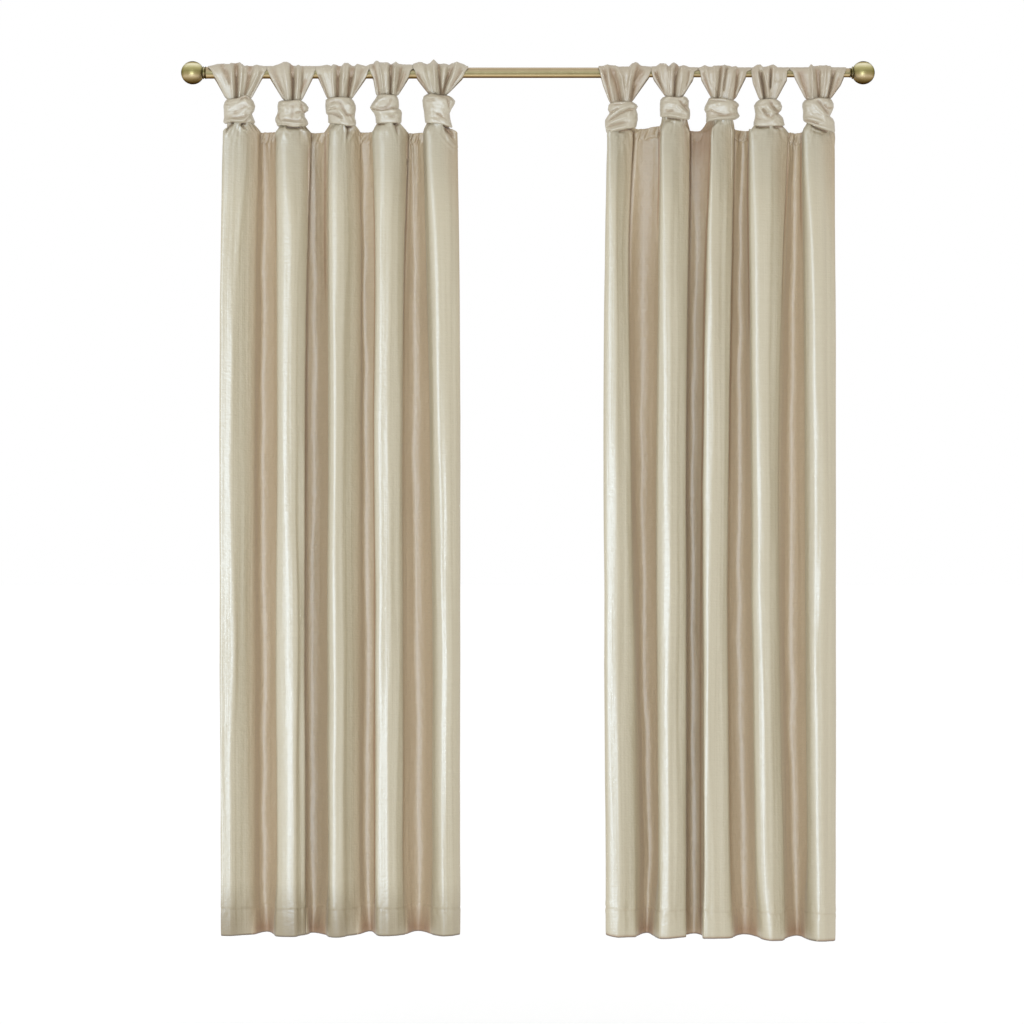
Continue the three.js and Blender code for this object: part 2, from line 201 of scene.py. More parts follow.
def normals_of(verts, faces):
    mesh = bpy.data.meshes.new("scratch")
    mesh.from_pydata([tuple(v) for v in verts], [], faces)
    mesh.update()
    n = np.empty(len(mesh.vertices) * 3)
    mesh.vertices.foreach_get("normal", n)
    bpy.data.meshes.remove(mesh)
    return n.reshape(-1, 3)


def both_sides(verts, faces, uvs, thick):
    """An open surface as a closed sheet of even thickness."""
    n = normals_of(verts, faces)
    count = len(verts)
    out = np.concatenate([verts + n * thick / 2, verts - n * thick / 2])
    edges = {}
    for f in faces:
        for a, b in zip(f, f[1:] + f[:1]):
            if (b, a) in edges:
                del edges[(b, a)]
            else:
                edges[(a, b)] = True
    all_faces = (
        list(faces)
        + [[v + count for v in reversed(f)] for f in faces]
        + [[b, a, a + count, b + count] for a, b in edges]
    )
    return out, all_faces, np.concatenate([uvs, uvs])


def grid_faces(rows, cols, start=0):
    r, c = np.meshgrid(np.arange(rows - 1), np.arange(cols - 1), indexing="ij")
    a = start + r * cols + c
    return np.stack([a, a + cols, a + cols + 1, a + 1], -1).reshape(-1, 4).tolist()


# ------------------------------------------------------------------ materials
def new_material(name):
    m = bpy.data.materials.new(name)
    m.use_nodes = True
    nt = m.node_tree
    bsdf = nt.nodes["Principled BSDF"]
    return m, nt, bsdf


def node(nt, kind, **values):
    n = nt.nodes.new(kind)
    for k, v in values.items():
        if k in n.inputs:
            n.inputs[k].default_value = v
        else:
            setattr(n, k, v)
    return n


def cloth_material(name, tint=(1.0, 1.0, 1.0), rough=(0.41, 0.52), heading=(0.83, 0.835, 0.84), valley_shade_depths=(-0.024, 0.018)):
    """Champagne faux silk: crosswise slubs, fine weave, soft satin sheen, with painted shade in its valleys, creases
    and gaps, towards the heading and towards the hem.
    """
    m, nt, bsdf = new_material(name)
    uv = node(nt, "ShaderNodeTexCoord")
    link = nt.links.new

    def streaks(sx, sy, scale, detail):
        mp = node(nt, "ShaderNodeMapping")
        mp.inputs["Scale"].default_value = (sx, sy, 1)
        link(uv.outputs["UV"], mp.inputs["Vector"])
        ns = node(nt, "ShaderNodeTexNoise", Scale=scale, Detail=detail, Roughness=0.55)
        link(mp.outputs["Vector"], ns.inputs["Vector"])
        return ns.outputs["Fac"]

    slub = streaks(14, 330, 1.0, 3.0)  # long crosswise slubs about 3 mm apart
    thread = streaks(60, 1400, 1.0, 1.0)  # finer weft
    warp = streaks(620, 10, 1.0, 1.0)  # lengthwise threads
    broad = streaks(5, 1.2, 1.0, 2.0)  # slow change of tone

    tone = node(nt, "ShaderNodeMix", data_type="RGBA")
    tone.inputs["A"].default_value = (0.386 * tint[0], 0.320 * tint[1], 0.199 * tint[2], 1)
    tone.inputs["B"].default_value = (0.456 * tint[0], 0.388 * tint[1], 0.252 * tint[2], 1)
    link(slub, tone.inputs["Factor"])
    fine = node(nt, "ShaderNodeMix", data_type="RGBA", blend_type="MULTIPLY")
    fine.inputs["B"].default_value = (0.90, 0.89, 0.87, 1)
    link(thread, fine.inputs["Factor"])
    link(tone.outputs["Result"], fine.inputs["A"])
    wide = node(nt, "ShaderNodeMix", data_type="RGBA", blend_type="MULTIPLY")
    wide.inputs["B"].default_value = (0.93, 0.92, 0.90, 1)
    link(broad, wide.inputs["Factor"])
    link(fine.outputs["Result"], wide.inputs["A"])
    # painted shade: a warmer, browner tone where the cloth turns away to the wall side, deep in the valleys
    place = node(nt, "ShaderNodeSeparateXYZ")
    link(uv.outputs["Object"], place.inputs["Vector"])
    deep = node(nt, "ShaderNodeMapRange", interpolation_type="SMOOTHSTEP")
    deep.inputs["From Min"].default_value = valley_shade_depths[0]
    deep.inputs["From Max"].default_value = valley_shade_depths[1]
    link(place.outputs["Y"], deep.inputs["Value"])
    painted_valley_shade = node(nt, "ShaderNodeMix", data_type="RGBA", blend_type="MULTIPLY")
    link(deep.outputs["Result"], painted_valley_shade.inputs["Factor"])
    link(wide.outputs["Result"], painted_valley_shade.inputs["A"])
    # painted shade: the mark browns the cloth in its creases, gaps and pockets, under the knots and in the valleys by
    # the heading and the hem
    painted_shade_mark = node(nt, "ShaderNodeAttribute", attribute_name="painted_shade_and_patina")
    brown = node(nt, "ShaderNodeMix", data_type="RGBA", blend_type="MULTIPLY")
    brown.inputs["B"].default_value = (0.67, 0.50, 0.345, 1)
    link(painted_shade_mark.outputs["Fac"], brown.inputs["Factor"])
    # a little darker towards the heading: painted shade, where less light falls
    height_z = node(nt, "ShaderNodeMapRange", interpolation_type="SMOOTHSTEP")
    height_z.inputs["From Min"].default_value = -0.35
    height_z.inputs["From Max"].default_value = -0.14
    link(place.outputs["Z"], height_z.inputs["Value"])
    # the painted valley shade is more golden towards the heading
    valley_shade_colour = node(nt, "ShaderNodeMix", data_type="RGBA")
    valley_shade_colour.inputs["A"].default_value = (1.05, 0.91, 0.82, 1)
    valley_shade_colour.inputs["B"].default_value = (1.06, 0.885, 0.70, 1)
    link(height_z.outputs["Result"], valley_shade_colour.inputs["Factor"])
    link(valley_shade_colour.outputs["Result"], painted_valley_shade.inputs["B"])
    head = node(nt, "ShaderNodeMix", data_type="RGBA", blend_type="MULTIPLY")
    head.inputs["B"].default_value = (*heading, 1)
    link(height_z.outputs["Result"], head.inputs["Factor"])
    link(painted_valley_shade.outputs["Result"], head.inputs["A"])
    # below zero the mark is painted shade: the dimming towards the hem and on shaded flanks, which also lowers the
    # specular level
    low = node(nt, "ShaderNodeMapRange")
    low.inputs["From Min"].default_value = -1.0
    low.inputs["From Max"].default_value = 0.0
    low.inputs["To Min"].default_value = 1.0
    low.inputs["To Max"].default_value = 0.0
    link(painted_shade_mark.outputs["Fac"], low.inputs["Value"])
    dim = node(nt, "ShaderNodeMix", data_type="RGBA", blend_type="MULTIPLY")
    dim.inputs["B"].default_value = (0.615, 0.565, 0.505, 1)
    link(low.outputs["Result"], dim.inputs["Factor"])
    link(head.outputs["Result"], dim.inputs["A"])
    link(dim.outputs["Result"], brown.inputs["A"])
    level = node(nt, "ShaderNodeMapRange")
    level.inputs["From Min"].default_value = -1.0
    level.inputs["From Max"].default_value = 0.0
    level.inputs["To Min"].default_value = 0.27
    level.inputs["To Max"].default_value = 0.5
    link(painted_shade_mark.outputs["Fac"], level.inputs["Value"])
    link(level.outputs["Result"], bsdf.inputs["Specular IOR Level"])
    # painted shadow: the deepest slots and the edge of the hem, nearly black
    slot = node(nt, "ShaderNodeMapRange")
    slot.inputs["From Min"].default_value = 1.0
    slot.inputs["From Max"].default_value = 1.6
    size = node(nt, "ShaderNodeMath", operation="ABSOLUTE")
    link(painted_shade_mark.outputs["Fac"], size.inputs[0])
    link(size.outputs[0], slot.inputs["Value"])
    black = node(nt, "ShaderNodeMix", data_type="RGBA", blend_type="MULTIPLY")
    black.inputs["B"].default_value = (0.26, 0.19, 0.13, 1)
    link(slot.outputs["Result"], black.inputs["Factor"])
    link(brown.outputs["Result"], black.inputs["A"])
    link(black.outputs["Result"], bsdf.inputs["Base Color"])

    gloss = node(nt, "ShaderNodeMapRange")
    gloss.inputs["To Min"].default_value = rough[0]
    gloss.inputs["To Max"].default_value = rough[1]
    link(slub, gloss.inputs["Value"])
    dull = node(nt, "ShaderNodeMath", operation="MULTIPLY_ADD")  # duller deep in the folds
    link(deep.outputs["Result"], dull.inputs[0])
    dull.inputs[1].default_value = 0.145
    link(gloss.outputs["Result"], dull.inputs[2])
    matt = node(nt, "ShaderNodeMath", operation="MULTIPLY_ADD")  # and in its creases
    above = node(nt, "ShaderNodeMath", operation="MAXIMUM")
    above.inputs[1].default_value = 0.0
    link(painted_shade_mark.outputs["Fac"], above.inputs[0])
    link(above.outputs[0], matt.inputs[0])
    matt.inputs[1].default_value = 0.16
    link(dull.outputs[0], matt.inputs[2])
    link(matt.outputs[0], bsdf.inputs["Roughness"])
    bsdf.inputs["IOR"].default_value = 2.3
    bsdf.inputs["Sheen Weight"].default_value = 0.08
    bsdf.inputs["Sheen Roughness"].default_value = 0.4

    # heights in metres, added up for one bump
    height = None
    # small puckers in the weave, stronger in the valleys, where it hangs loose
    pucker = node(nt, "ShaderNodeMath", operation="MULTIPLY")
    link(streaks(62, 36, 1.0, 2.0), pucker.inputs[0])
    loose = node(nt, "ShaderNodeMapRange")
    loose.inputs["To Min"].default_value = 0.4
    loose.inputs["To Max"].default_value = 1.0
    link(deep.outputs["Result"], loose.inputs["Value"])
    link(loose.outputs["Result"], pucker.inputs[1])
    for fac, deep_m in (
        (streaks(110, 2.2, 1.0, 2.0), 0.0010),  # faint lengthwise rumples
        (pucker.outputs[0], 0.0022),
        (streaks(90, 190, 1.0, 1.0), 0.0005),  # grain
        (slub, 0.00022),
        (thread, 0.00008),
        (warp, 0.00005),
    ):
        part = node(nt, "ShaderNodeMath", operation="MULTIPLY_ADD")
        link(fac, part.inputs[0])
        part.inputs[1].default_value = deep_m * 1000
        part.inputs[2].default_value = 0.0
        if height is not None:
            link(height, part.inputs[2])
        height = part.outputs[0]
    b3 = node(nt, "ShaderNodeBump", Strength=1.0, Distance=0.001)
    link(height, b3.inputs["Height"])
    link(b3.outputs["Normal"], bsdf.inputs["Normal"])
    return m


def brass_material(name, painted_reflection_bands, roughness, edge):
    """Satin antique brass with painted reflections: bands of painted highlight and shade by how far the surface faces
    up or down; edge: its colour at a grazing angle.
    """
    m, nt, bsdf = new_material(name)
    link = nt.links.new
    geo = node(nt, "ShaderNodeNewGeometry")
    sep = node(nt, "ShaderNodeSeparateXYZ")
    link(geo.outputs["Normal"], sep.inputs["Vector"])
    # painted reflections: the colour bands follow how far the surface faces up or down
    up = node(nt, "ShaderNodeMapRange")
    up.inputs["From Min"].default_value = -1
    up.inputs["From Max"].default_value = 1
    link(sep.outputs["Z"], up.inputs["Value"])
    ramp = node(nt, "ShaderNodeValToRGB")
    cr = ramp.color_ramp
    while len(cr.elements) < len(painted_reflection_bands):
        cr.elements.new(0.5)
    for e, (p, c) in zip(cr.elements, painted_reflection_bands):
        e.position = p
        e.color = (*c, 1)
    link(up.outputs["Result"], ramp.inputs["Fac"])
    tc = node(nt, "ShaderNodeTexCoord")
    ns = node(nt, "ShaderNodeTexNoise", Scale=60.0, Detail=3.0)
    link(tc.outputs["Object"], ns.inputs["Vector"])
    mul = node(nt, "ShaderNodeMix", data_type="RGBA", blend_type="MULTIPLY")
    mul.inputs["B"].default_value = (0.86, 0.84, 0.80, 1)
    link(ns.outputs["Fac"], mul.inputs["Factor"])
    link(ramp.outputs["Color"], mul.inputs["A"])
    groove = node(nt, "ShaderNodeAttribute", attribute_name="painted_shade_and_patina")
    old = node(nt, "ShaderNodeMix", data_type="RGBA", blend_type="MULTIPLY")
    old.inputs["B"].default_value = (0.22, 0.15, 0.06, 1)
    link(groove.outputs["Fac"], old.inputs["Factor"])
    link(mul.outputs["Result"], old.inputs["A"])
    link(old.outputs["Result"], bsdf.inputs["Base Color"])
    bsdf.inputs["Metallic"].default_value = 1.0
    bsdf.inputs["Specular Tint"].default_value = (*edge, 1)
    rg = node(nt, "ShaderNodeMapRange")
    rg.inputs["To Min"].default_value = roughness - 0.05
    rg.inputs["To Max"].default_value = roughness + 0.07
    link(ns.outputs["Fac"], rg.inputs["Value"])
    link(rg.outputs["Result"], bsdf.inputs["Roughness"])
    fine = node(nt, "ShaderNodeTexNoise", Scale=900.0, Detail=1.0)
    link(tc.outputs["Object"], fine.inputs["Vector"])
    bp = node(nt, "ShaderNodeBump", Strength=0.08, Distance=0.0003)
    link(fine.outputs["Fac"], bp.inputs["Height"])
    link(bp.outputs["Normal"], bsdf.inputs["Normal"])
    return m


CLOTH = cloth_material("curtain_cloth")
KNOT_CLOTH = cloth_material("curtain_cloth_knots", (0.94, 0.94, 1.0), (0.46, 0.57), (1.0, 1.0, 1.0), (-0.002, 0.022))
# painted reflections: dark bands below, lighter bands above, and on the finials a bright painted highlight on the upper
# side
ROD_BRASS = brass_material(
    "rod_brass",
    [
        (0.00, (0.15, 0.085, 0.035)),
        (0.05, (0.17, 0.105, 0.042)),
        (0.100, (0.27, 0.180, 0.075)),
        (0.160, (0.64, 0.490, 0.270)),
        (0.205, (0.62, 0.480, 0.270)),
        (0.270, (0.36, 0.275, 0.140)),
        (0.360, (0.155, 0.120, 0.054)),
        (0.458, (0.22, 0.185, 0.098)),
        (0.556, (0.375, 0.305, 0.165)),
        (0.655, (0.49, 0.400, 0.250)),
        (0.760, (0.42, 0.335, 0.205)),
        (0.870, (0.64, 0.540, 0.390)),
        (1.00, (0.50, 0.420, 0.310)),
    ],
    0.50,
    (0.45, 0.35, 0.22),
)
FINIAL_BRASS = brass_material(
    "finial_brass",
    [
        (0.00, (0.08, 0.050, 0.016)),
        (0.08, (0.13, 0.085, 0.030)),
        (0.18, (0.27, 0.195, 0.085)),
        (0.30, (0.52, 0.410, 0.240)),
        (0.41, (0.33, 0.265, 0.120)),
        (0.53, (0.27, 0.235, 0.095)),
        (0.66, (0.46, 0.415, 0.190)),
        (0.76, (0.74, 0.690, 0.430)),
        (0.84, (0.96, 0.910, 0.680)),
        (0.90, (0.60, 0.520, 0.290)),
        (0.96, (0.20, 0.150, 0.055)),
        (1.00, (0.12, 0.085, 0.030)),
    ],
    0.42,
    (0.0, 0.0, 0.0),
)

# ------------------------------------------------------------------ panels
PANEL_THICK = 1.4
HEADING_Z = -146.0
LEVEL_Z = [-150, -225, -433, -873, -1435, -1948, -2110]
SIDE_Y, NECK_Y, EDGE_Y = -22.0, 2.0, 9.0
GROWTH = ([0, 0.03, 0.08, 0.2, 1], [0.63, 0.70, 0.84, 0.98, 1.04])

# One fold: X in mm of its left turn, crest and right turn at each level; how far
# the cloth tucks in behind the left and right turn; the crest's depth.
# One valley: X of its floor at each level, and the floor's depth.
LEFT = dict(
    name="left",
    hem=(-2104.0, -2104.0),
    folds=[
        dict(l=[-742, -744, -747, -749, -749, -746, -747], c=[-730, -731, -737, -740, -740, -738, -738], r=[-693, -695, -701, -704, -705, -705, -703], tl=9, tr=-33, y=-41, ly=[-36.5, -37, -38.5, -38.5, -38.5, -38.5, -38.5], ry=[-20, -22, -25, -25, -25, -25, -25], sy=[9, 8, 7, 6.5, 6.5, 6.5, 6.5], nr=[9, 8, 4, 3, 3, 3, 3]),
        dict(l=[-614, -614, -611, -610, -611, -609, -612], c=[-591, -590, -583, -586, -576, -579, -573], r=[-531, -532, -538, -543, -544, -544, -544], tl=2.5, tr=14, y=-45, ly=[-26, -28, -33, -35, -35, -35, -35], sy=[27, 27, 19, 15, 16.5, 16.5, 16], nr=[4, 3, -1, -1, -1, -1, -1]),
        dict(l=[-482, -486, -487, -485, -488, -485, -487], c=[-471, -473, -473, -472, -471, -472, -466], r=[-443, -443, -438, -441, -441, -441, -438], tl=2.5, tr=-27, y=-41, ly=-27, sy=9, ry=-20, nr=[9, 8, 4, 3, 3, 3, 3]),
        dict(l=[-379, -377, -370, -373, -370, -371, -367], c=[-353, -352, -352, -353, -352, -353, -350], r=[-293, -294, -301, -307, -305, -306, -304], tl=5, tr=3, y=-46, ly=[-27, -29, -36, -39, -39, -39, -39], sy=[25, 25, 17, 11.5, 11, 11, 11], nr=[10, 9, 2, -1, -1, -1, -1]),
        dict(l=[-255, -253, -247, -238, -231, -232, -231], c=[-238, -236, -224, -216, -206, -209, -206], r=[-173, -172, -169, -166, -165, -166, -167], tl=1, tr=9, y=-44, ny=4),
    ],
    valleys=[
        dict(x=[-646, -645, -646, -650, -648, -649, -643], y=40),
        dict(x=[-530, -528, -527, -526, -530, -529, -526], y=[37, 39, 43, 43, 43, 43, 43]),
        dict(x=[-401, -399, -399, -398, -395, -394, -388], y=27),
        dict(x=[-285, -283, -279, -278, -272, -269, -271], y=[33, 36, 41, 42, 42, 42, 42]),
    ],
    # height of the heading's top edge, by place along the cloth
    heading=[(0, -146), (6, -144.1), (13, -145.3), (20, -143.4), (27, -145.8), (34, -146)],
)
RIGHT = dict(
    name="right",
    hem=(-2109.5, -2115.0),
    folds=[
        dict(l=[194, 192, 188, 185, 187, 191, 191], c=[205, 206, 208, 208, 207, 215, 218], r=[256, 254, 246, 249, 257, 262, 262], tl=9, tr=[2, 2, 2, 0, -7, -11, -11], y=-42, ly=-34.5, nr=[8, 7, 0, -1, -1, -1, -1]),
        dict(l=[326, 324, 319, 313, 315, 319, 314], c=[334, 334, 335, 336, 335, 333, 329], r=[395, 396, 392, 386, 386, 386, 387], tl=3, tr=14, y=-45, ly=-31, ny=4, wr=0.35),
        dict(l=[446, 444, 436, 427, 427, 427, 424], c=[455, 455, 450, 446, 440, 438, 438], r=[504, 504, 498, 490, 486, 492, 497], tl=10, tr=6, y=-43, ly=-37, ny=4, wl=0.35),
        dict(l=[539, 539, 540, 544, 548, 557, 570], c=[554, 556, 560, 562, 571, 581, 591], r=[634, 631, 622, 610, 612, 622, 625], tl=2, tr=-5, y=-46, ly=-33, nr=[9, 8, 0, -1, -1, -1, -1]),
        dict(l=[669, 670, 673, 676, 679, 682, 687], c=[681, 682, 692, 699, 699, 704, 706], r=[750, 750, 750, 751, 751, 751, 750], tl=1, tr=9, y=-43, ny=4),
    ],
    valleys=[
        dict(x=[284, 282, 281, 279, 285, 296, 290], y=[24, 26, 34, 38, 38, 38, 38]),
        dict(x=[412, 412, 413, 405, 403, 407, 406], y=44),
        dict(x=[525, 525, 521, 518, 518, 529, 530], y=40),
        dict(x=[655, 655, 652, 646, 646, 654, 658], y=[30, 33, 38, 39, 39, 39, 39]),
    ],
    heading=[(0, -146), (4.9, -140), (5.6, -138.5), (6.6, -130), (7.6, -122), (13, -139.9), (20, -139.2), (27, -145.8), (34, -146)],
)


# Long soft creases on the fold fronts: fold, height and width of the kink in mm
# and table units, and the line it follows down the fold.
LEFT["creases"] = [
    (0, 1.6, 3.0, [(246, 150), (245, 175), (243, 200), (238, 250), (235, 300), (233, 360), (232, 430), (231.5, 500), (233, 580), (235, 660), (232, 740), (231.5, 820), (232, 900), (231, 935)]),
    (1, 1.5, 3.0, [(300, 215), (298.5, 250), (297, 300), (296, 360), (295.5, 430), (296, 500), (296.5, 580), (298, 660), (296, 740), (295, 820), (295, 870), (296, 935)]),
    (1, -0.5, 1.5, [(287, 200), (289, 300), (290, 430), (290, 500), (291, 580), (292, 660), (290.5, 740), (292, 820), (293, 925)]),
    (2, 1.0, 2.6, [(347, 165), (348, 200), (349, 250), (345, 300), (342, 360), (342, 430), (342, 500), (343, 580), (344, 660), (343, 740), (342, 820), (341, 900), (341, 935)]),
    (2, -0.6, 1.5, [(339, 300), (339.5, 430), (338, 500), (340, 580), (339, 740), (338, 900)]),
    (3, 1.4, 2.6, [(392, 180), (391, 250), (390, 360), (389.5, 430), (390, 500), (391, 580), (391, 660), (388, 740), (389, 820), (389, 870), (390, 935)]),
    (3, -0.25, 1.4, [(386, 200), (385, 300), (385, 430), (384.5, 500), (385.5, 660), (384.5, 820), (387, 935)]),
    (3, 0.7, 1.6, [(398, 200), (397, 300), (400, 430), (399, 500), (400, 660), (396, 820), (398, 935)]),
    (4, 1.4, 2.8, [(449, 200), (450, 300), (450, 430), (450, 500), (451, 580), (452, 660), (451, 740), (452, 820), (453, 900), (453, 935)]),
    (4, -0.6, 1.5, [(441, 200), (443, 300), (444, 430), (444.5, 500), (445, 660), (445, 820), (447, 935)]),
    (4, 0.8, 1.6, [(456, 170), (456, 300), (456.5, 430), (456, 580), (456.5, 740), (456, 900)]),
]
RIGHT["creases"] = [
    (0, 1.4, 2.6, [(618, 150), (616, 200), (616, 250), (617, 300), (617, 430), (618, 500), (618, 580), (618, 660), (619, 740), (621, 820), (621, 900), (619, 935)]),
    (0, 0.8, 1.6, [(626, 160), (623, 250), (625, 360), (627, 430), (627, 500), (628, 580), (625, 740)]),
    (1, 1.4, 2.6, [(672, 165), (671, 250), (671, 360), (671, 500), (671, 660), (670, 740), (670, 900), (671, 935)]),
    (1, 0.8, 1.8, [(679, 200), (678, 300), (677, 430), (677, 500), (676, 660), (677, 820), (676, 935)]),
    (2, 0.9, 1.6, [(713, 165), (712, 250), (714, 360), (714, 430), (712, 500), (711, 580), (709, 740), (713, 820), (715, 935)]),
    (2, 0.8, 1.4, [(720, 165), (719, 250), (719, 360), (720, 430), (721, 500), (720, 580), (720, 660)]),
    (2, 1.2, 2.4, [(727, 170), (726, 250), (725, 360), (724, 430), (724, 500), (723, 580), (722, 660), (723, 740), (724, 900)]),
    (3, 1.4, 2.6, [(771, 150), (771, 200), (770, 250), (769, 300), (769, 430), (770, 500), (769, 580), (770, 660), (771, 740), (773, 820), (774, 870), (773, 935)]),
    (3, -0.6, 1.6, [(763, 200), (763, 300), (763, 430), (764, 500), (763, 580), (768, 740), (770, 870)]),
    (4, 1.4, 2.6, [(822, 165), (823, 250), (823, 360), (824, 430), (826, 500), (825, 580), (824, 660), (823, 740), (824, 820), (825, 900), (826, 935)]),
    (4, -0.6, 1.5, [(817, 200), (818, 300), (818, 430), (821, 500), (818, 580), (820, 740), (819, 900)]),
    (4, 0.7, 1.5, [(831, 170), (830, 300), (831, 430), (831, 580), (831, 740), (831, 900)]),
]


# Narrow gaps where a fold's edge lies over the cloth behind it, dented in and darkened with painted shade: the places
# along the cloth they may show on, depth in mm, half width in table units, line.
# How much painted shade each valley gets at the heading, and the hem's rise in mm along
# the cloth, in section places
LEFT["browner"] = (0.3, 0.0, 0.1, 0.0)
RIGHT["browner"] = (0.0, 0.85, 0.0, 0.0)
LEFT["hem_wave"] = [(0, 4), (0.6, 1.5), (2, 0), (3.5, -1), (5, -3), (6, -1), (9, -2.5), (12, -1.5), (13, -4), (16, -4.5), (18.5, -3.5), (20, 1.5), (21.5, 0), (23, -1.5), (27, 0), (30, -2), (32, -1), (33, 4)]
RIGHT["hem_wave"] = [(0, 11), (1, 8), (2, 2), (4, 0), (6, 3), (9, 0), (13, 1.5), (16, 2), (17.5, 0), (20, 1.5), (23, -1.5), (24.5, -4), (27, 0), (30, -3), (31.5, -4.5), (32.5, -2), (33, 5)]
LEFT["tuck"], RIGHT["tuck"] = (7.0, 110.0), (3.0, 72.0)  # how far and how high the hem leans in
# how much painted shade each part of a panel gets towards its hem
LEFT["dim"] = [(0, 1), (3, 1), (6, 0.35), (7, 0.6), (9, 1), (12, 0.75), (13, 0.35), (16, 1), (18, 0.75), (20, 0.35), (23, 0.85), (25, 0.65), (27, 0.35), (30, 0.6), (33, 0.5)]
RIGHT["dim"] = [(0, 0), (33, 0)]
# flanks with painted shade: between which places, how much near the top and lower down
LEFT["shaded"] = [(10.0, 11.7, 0.30, 0.0), (24.0, 25.7, 0.28, 0.0), (27.9, 29.6, 0.60, 0.34), (31.0, 32.7, 0.42, 0.06)]
RIGHT["shaded"] = [(5.7, 8.15, 0.40, 0.22), (13.6, 15.1, 0.50, 0.0), (24.0, 25.7, 0.30, 0.0), (27.9, 29.6, 0.55, 0.32), (31.0, 32.7, 0.34, 0.0)]

LEFT["gaps"] = [
    ((11.3, 13.0), 7, 1.0, [(308.6, 150), (308.4, 190), (306.7, 290), (306.2, 430), (305.2, 610), (305.4, 790), (305.4, 925)]),
    ((20.1, 21.7), 0, 1.0, [(375.0, 140), (374.8, 190), (375.6, 290), (374.0, 430), (374.6, 610), (374.6, 790), (375.0, 925)]),
    ((18.2, 20.0), 5, 1.0, [(347.5, 140), (346.8, 190), (347.6, 230), (349.0, 270)]),
    ((25.2, 27.0), 6, 1.0, [(408.0, 140), (407.6, 190), (405.4, 250), (404.0, 300), (403.0, 340)]),
    ((13.0, 14.6), 0, 1.0, [(325.2, 140), (325.2, 190), (325.4, 240), (325.8, 300)]),
    ((6.0, 7.5), 0, 0.9, [(276.6, 140), (276.6, 190), (276.2, 240)]),
]
RIGHT["gaps"] = [
    ((11.3, 13.0), 8, 1.0, [(691.0, 135), (690.6, 190), (687.9, 290), (686.7, 430), (685.9, 610), (686.6, 790), (686.6, 925)]),
    ((13.0, 14.6), 0, 1.0, [(709.4, 135), (708.5, 190), (704.5, 290), (702.6, 430), (701.2, 610), (700.7, 790), (700.6, 925)]),
    ((4.3, 6.0), 9, 1.3, [(634.0, 132), (631.6, 190), (629.4, 250), (628.4, 300)]),
    ((18.3, 20.0), 4, 1.0, [(735.2, 132), (734.0, 190), (731.6, 290), (729.8, 430), (729.2, 480)]),
    ((25.3, 27.0), 2, 1.0, [(788.2, 134), (786.6, 190), (783.6, 250), (782.0, 300)]),
    ((20.0, 21.6), 0, 1.0, [(748.4, 134), (747.9, 190), (749.6, 290), (750.0, 340)]),
    ((27.0, 28.6), 0, 1.0, [(801.4, 134), (800.6, 190), (802.0, 240)]),
    ((6.0, 7.5), 0, 1.0, [(659.0, 128), (658.8, 190), (657.0, 230)]),
]


def section(panel, z):
    """Cross-section points at heights z: array (heights, points, 2)."""
    z = np.asarray(z, float)
    hem = min(panel["hem"])
    drop = np.clip((HEADING_Z - z) / (HEADING_Z - hem), 0, 1)
    g = curve_at(*GROWTH, drop)
    zz = np.clip(z, LEVEL_Z[-1], LEVEL_Z[0])
    pts = []
    seed = 11 if panel["name"] == "left" else 57
    n = len(panel["folds"])
    for i, f in enumerate(panel["folds"]):
        L, C, R = (curve_at(LEVEL_Z, f[k], zz) for k in "lcr")
        C = C + 1.6 * wander(z / 170 + 3.1 * i, seed + i)
        S = mix(C, R, 0.62) + 2.2 * wander(z / 240 + 1.7 * i, seed + 20 + i)
        last = i == n - 1
        open_hem = smooth((-1880 - z) / 230)
        level = lambda v: curve_at(LEVEL_Z, v, zz) if isinstance(v, list) else v
        wide = 0 if i == 0 else open_hem * f.get("wl", 1)
        pts.append((L + mix(f["tl"], -10, wide), EDGE_Y if i == 0 else mix(f.get("ny", NECK_Y), 7, wide)))
        pts.append((L, level(f.get("ly", SIDE_Y)) * g))
        pts.append((C, f["y"] * g))
        lean = level(f.get("sy", [33, 32, 20, 14, 13, 13, 13]))
        pts.append((S, (f["y"] + lean) * g + 1.0 * wander(z / 200 + i, seed + 40 + i)))
        turn = level(f.get("ry", [9, 7, -8, -12, -12, -12, -12] if last else [9, 8, -8, -16, -17, -17, -17]))
        pts.append((R, turn * g))
        under = level(f["tr"])
        shut = last or not isinstance(f["tr"], list) and f["tr"] < 0
        wide = 0 if shut else open_hem * f.get("wr", 1)
        pts.append((R - mix(under, -8, wide), EDGE_Y if last else mix(level(f.get("nr", NECK_Y - 3)), 4, wide)))
        if not last:
            v = panel["valleys"][i]
            V = curve_at(LEVEL_Z, v["x"], zz) + 2.4 * wander(z / 95 + 5.3 * i, seed + 60 + i)
            floor_y = curve_at(LEVEL_Z, v["y"], zz) if isinstance(v["y"], list) else v["y"]
            pts.append((V, floor_y * g + 1.5 * wander(z / 130 + i, seed + 80 + i)))
    out = np.empty((len(z), len(pts), 2))
    for k, (x, y) in enumerate(pts):
        out[:, k, 0], out[:, k, 1] = x, y
    return out


def through(points, k):
    """Rounded curve through each row's points at places k: (rows, len(k), 2)."""
    last = points.shape[1] - 1
    i = np.clip(np.floor(k).astype(int), 0, last - 1)
    t = (k - i)[None, :, None]
    p = [points[:, np.clip(i + o, 0, last)] for o in (-1, 0, 1, 2)]
    # the valley floors and crests are rounder than the rest
    pull = np.array([0.45, 0.45, 0.66, 0.45, 0.45, 0.45, 0.72])[np.arange(last + 1) % 7]
    m1 = (p[2] - p[0]) * pull[np.clip(i, 0, last)][None, :, None]
    m2 = (p[3] - p[1]) * pull[np.clip(i + 1, 0, last)][None, :, None]
    t2, t3 = t * t, t * t * t
    return (2 * t3 - 3 * t2 + 1) * p[1] + (t3 - 2 * t2 + t) * m1 + (-2 * t3 + 3 * t2) * p[2] + (t3 - t2) * m2


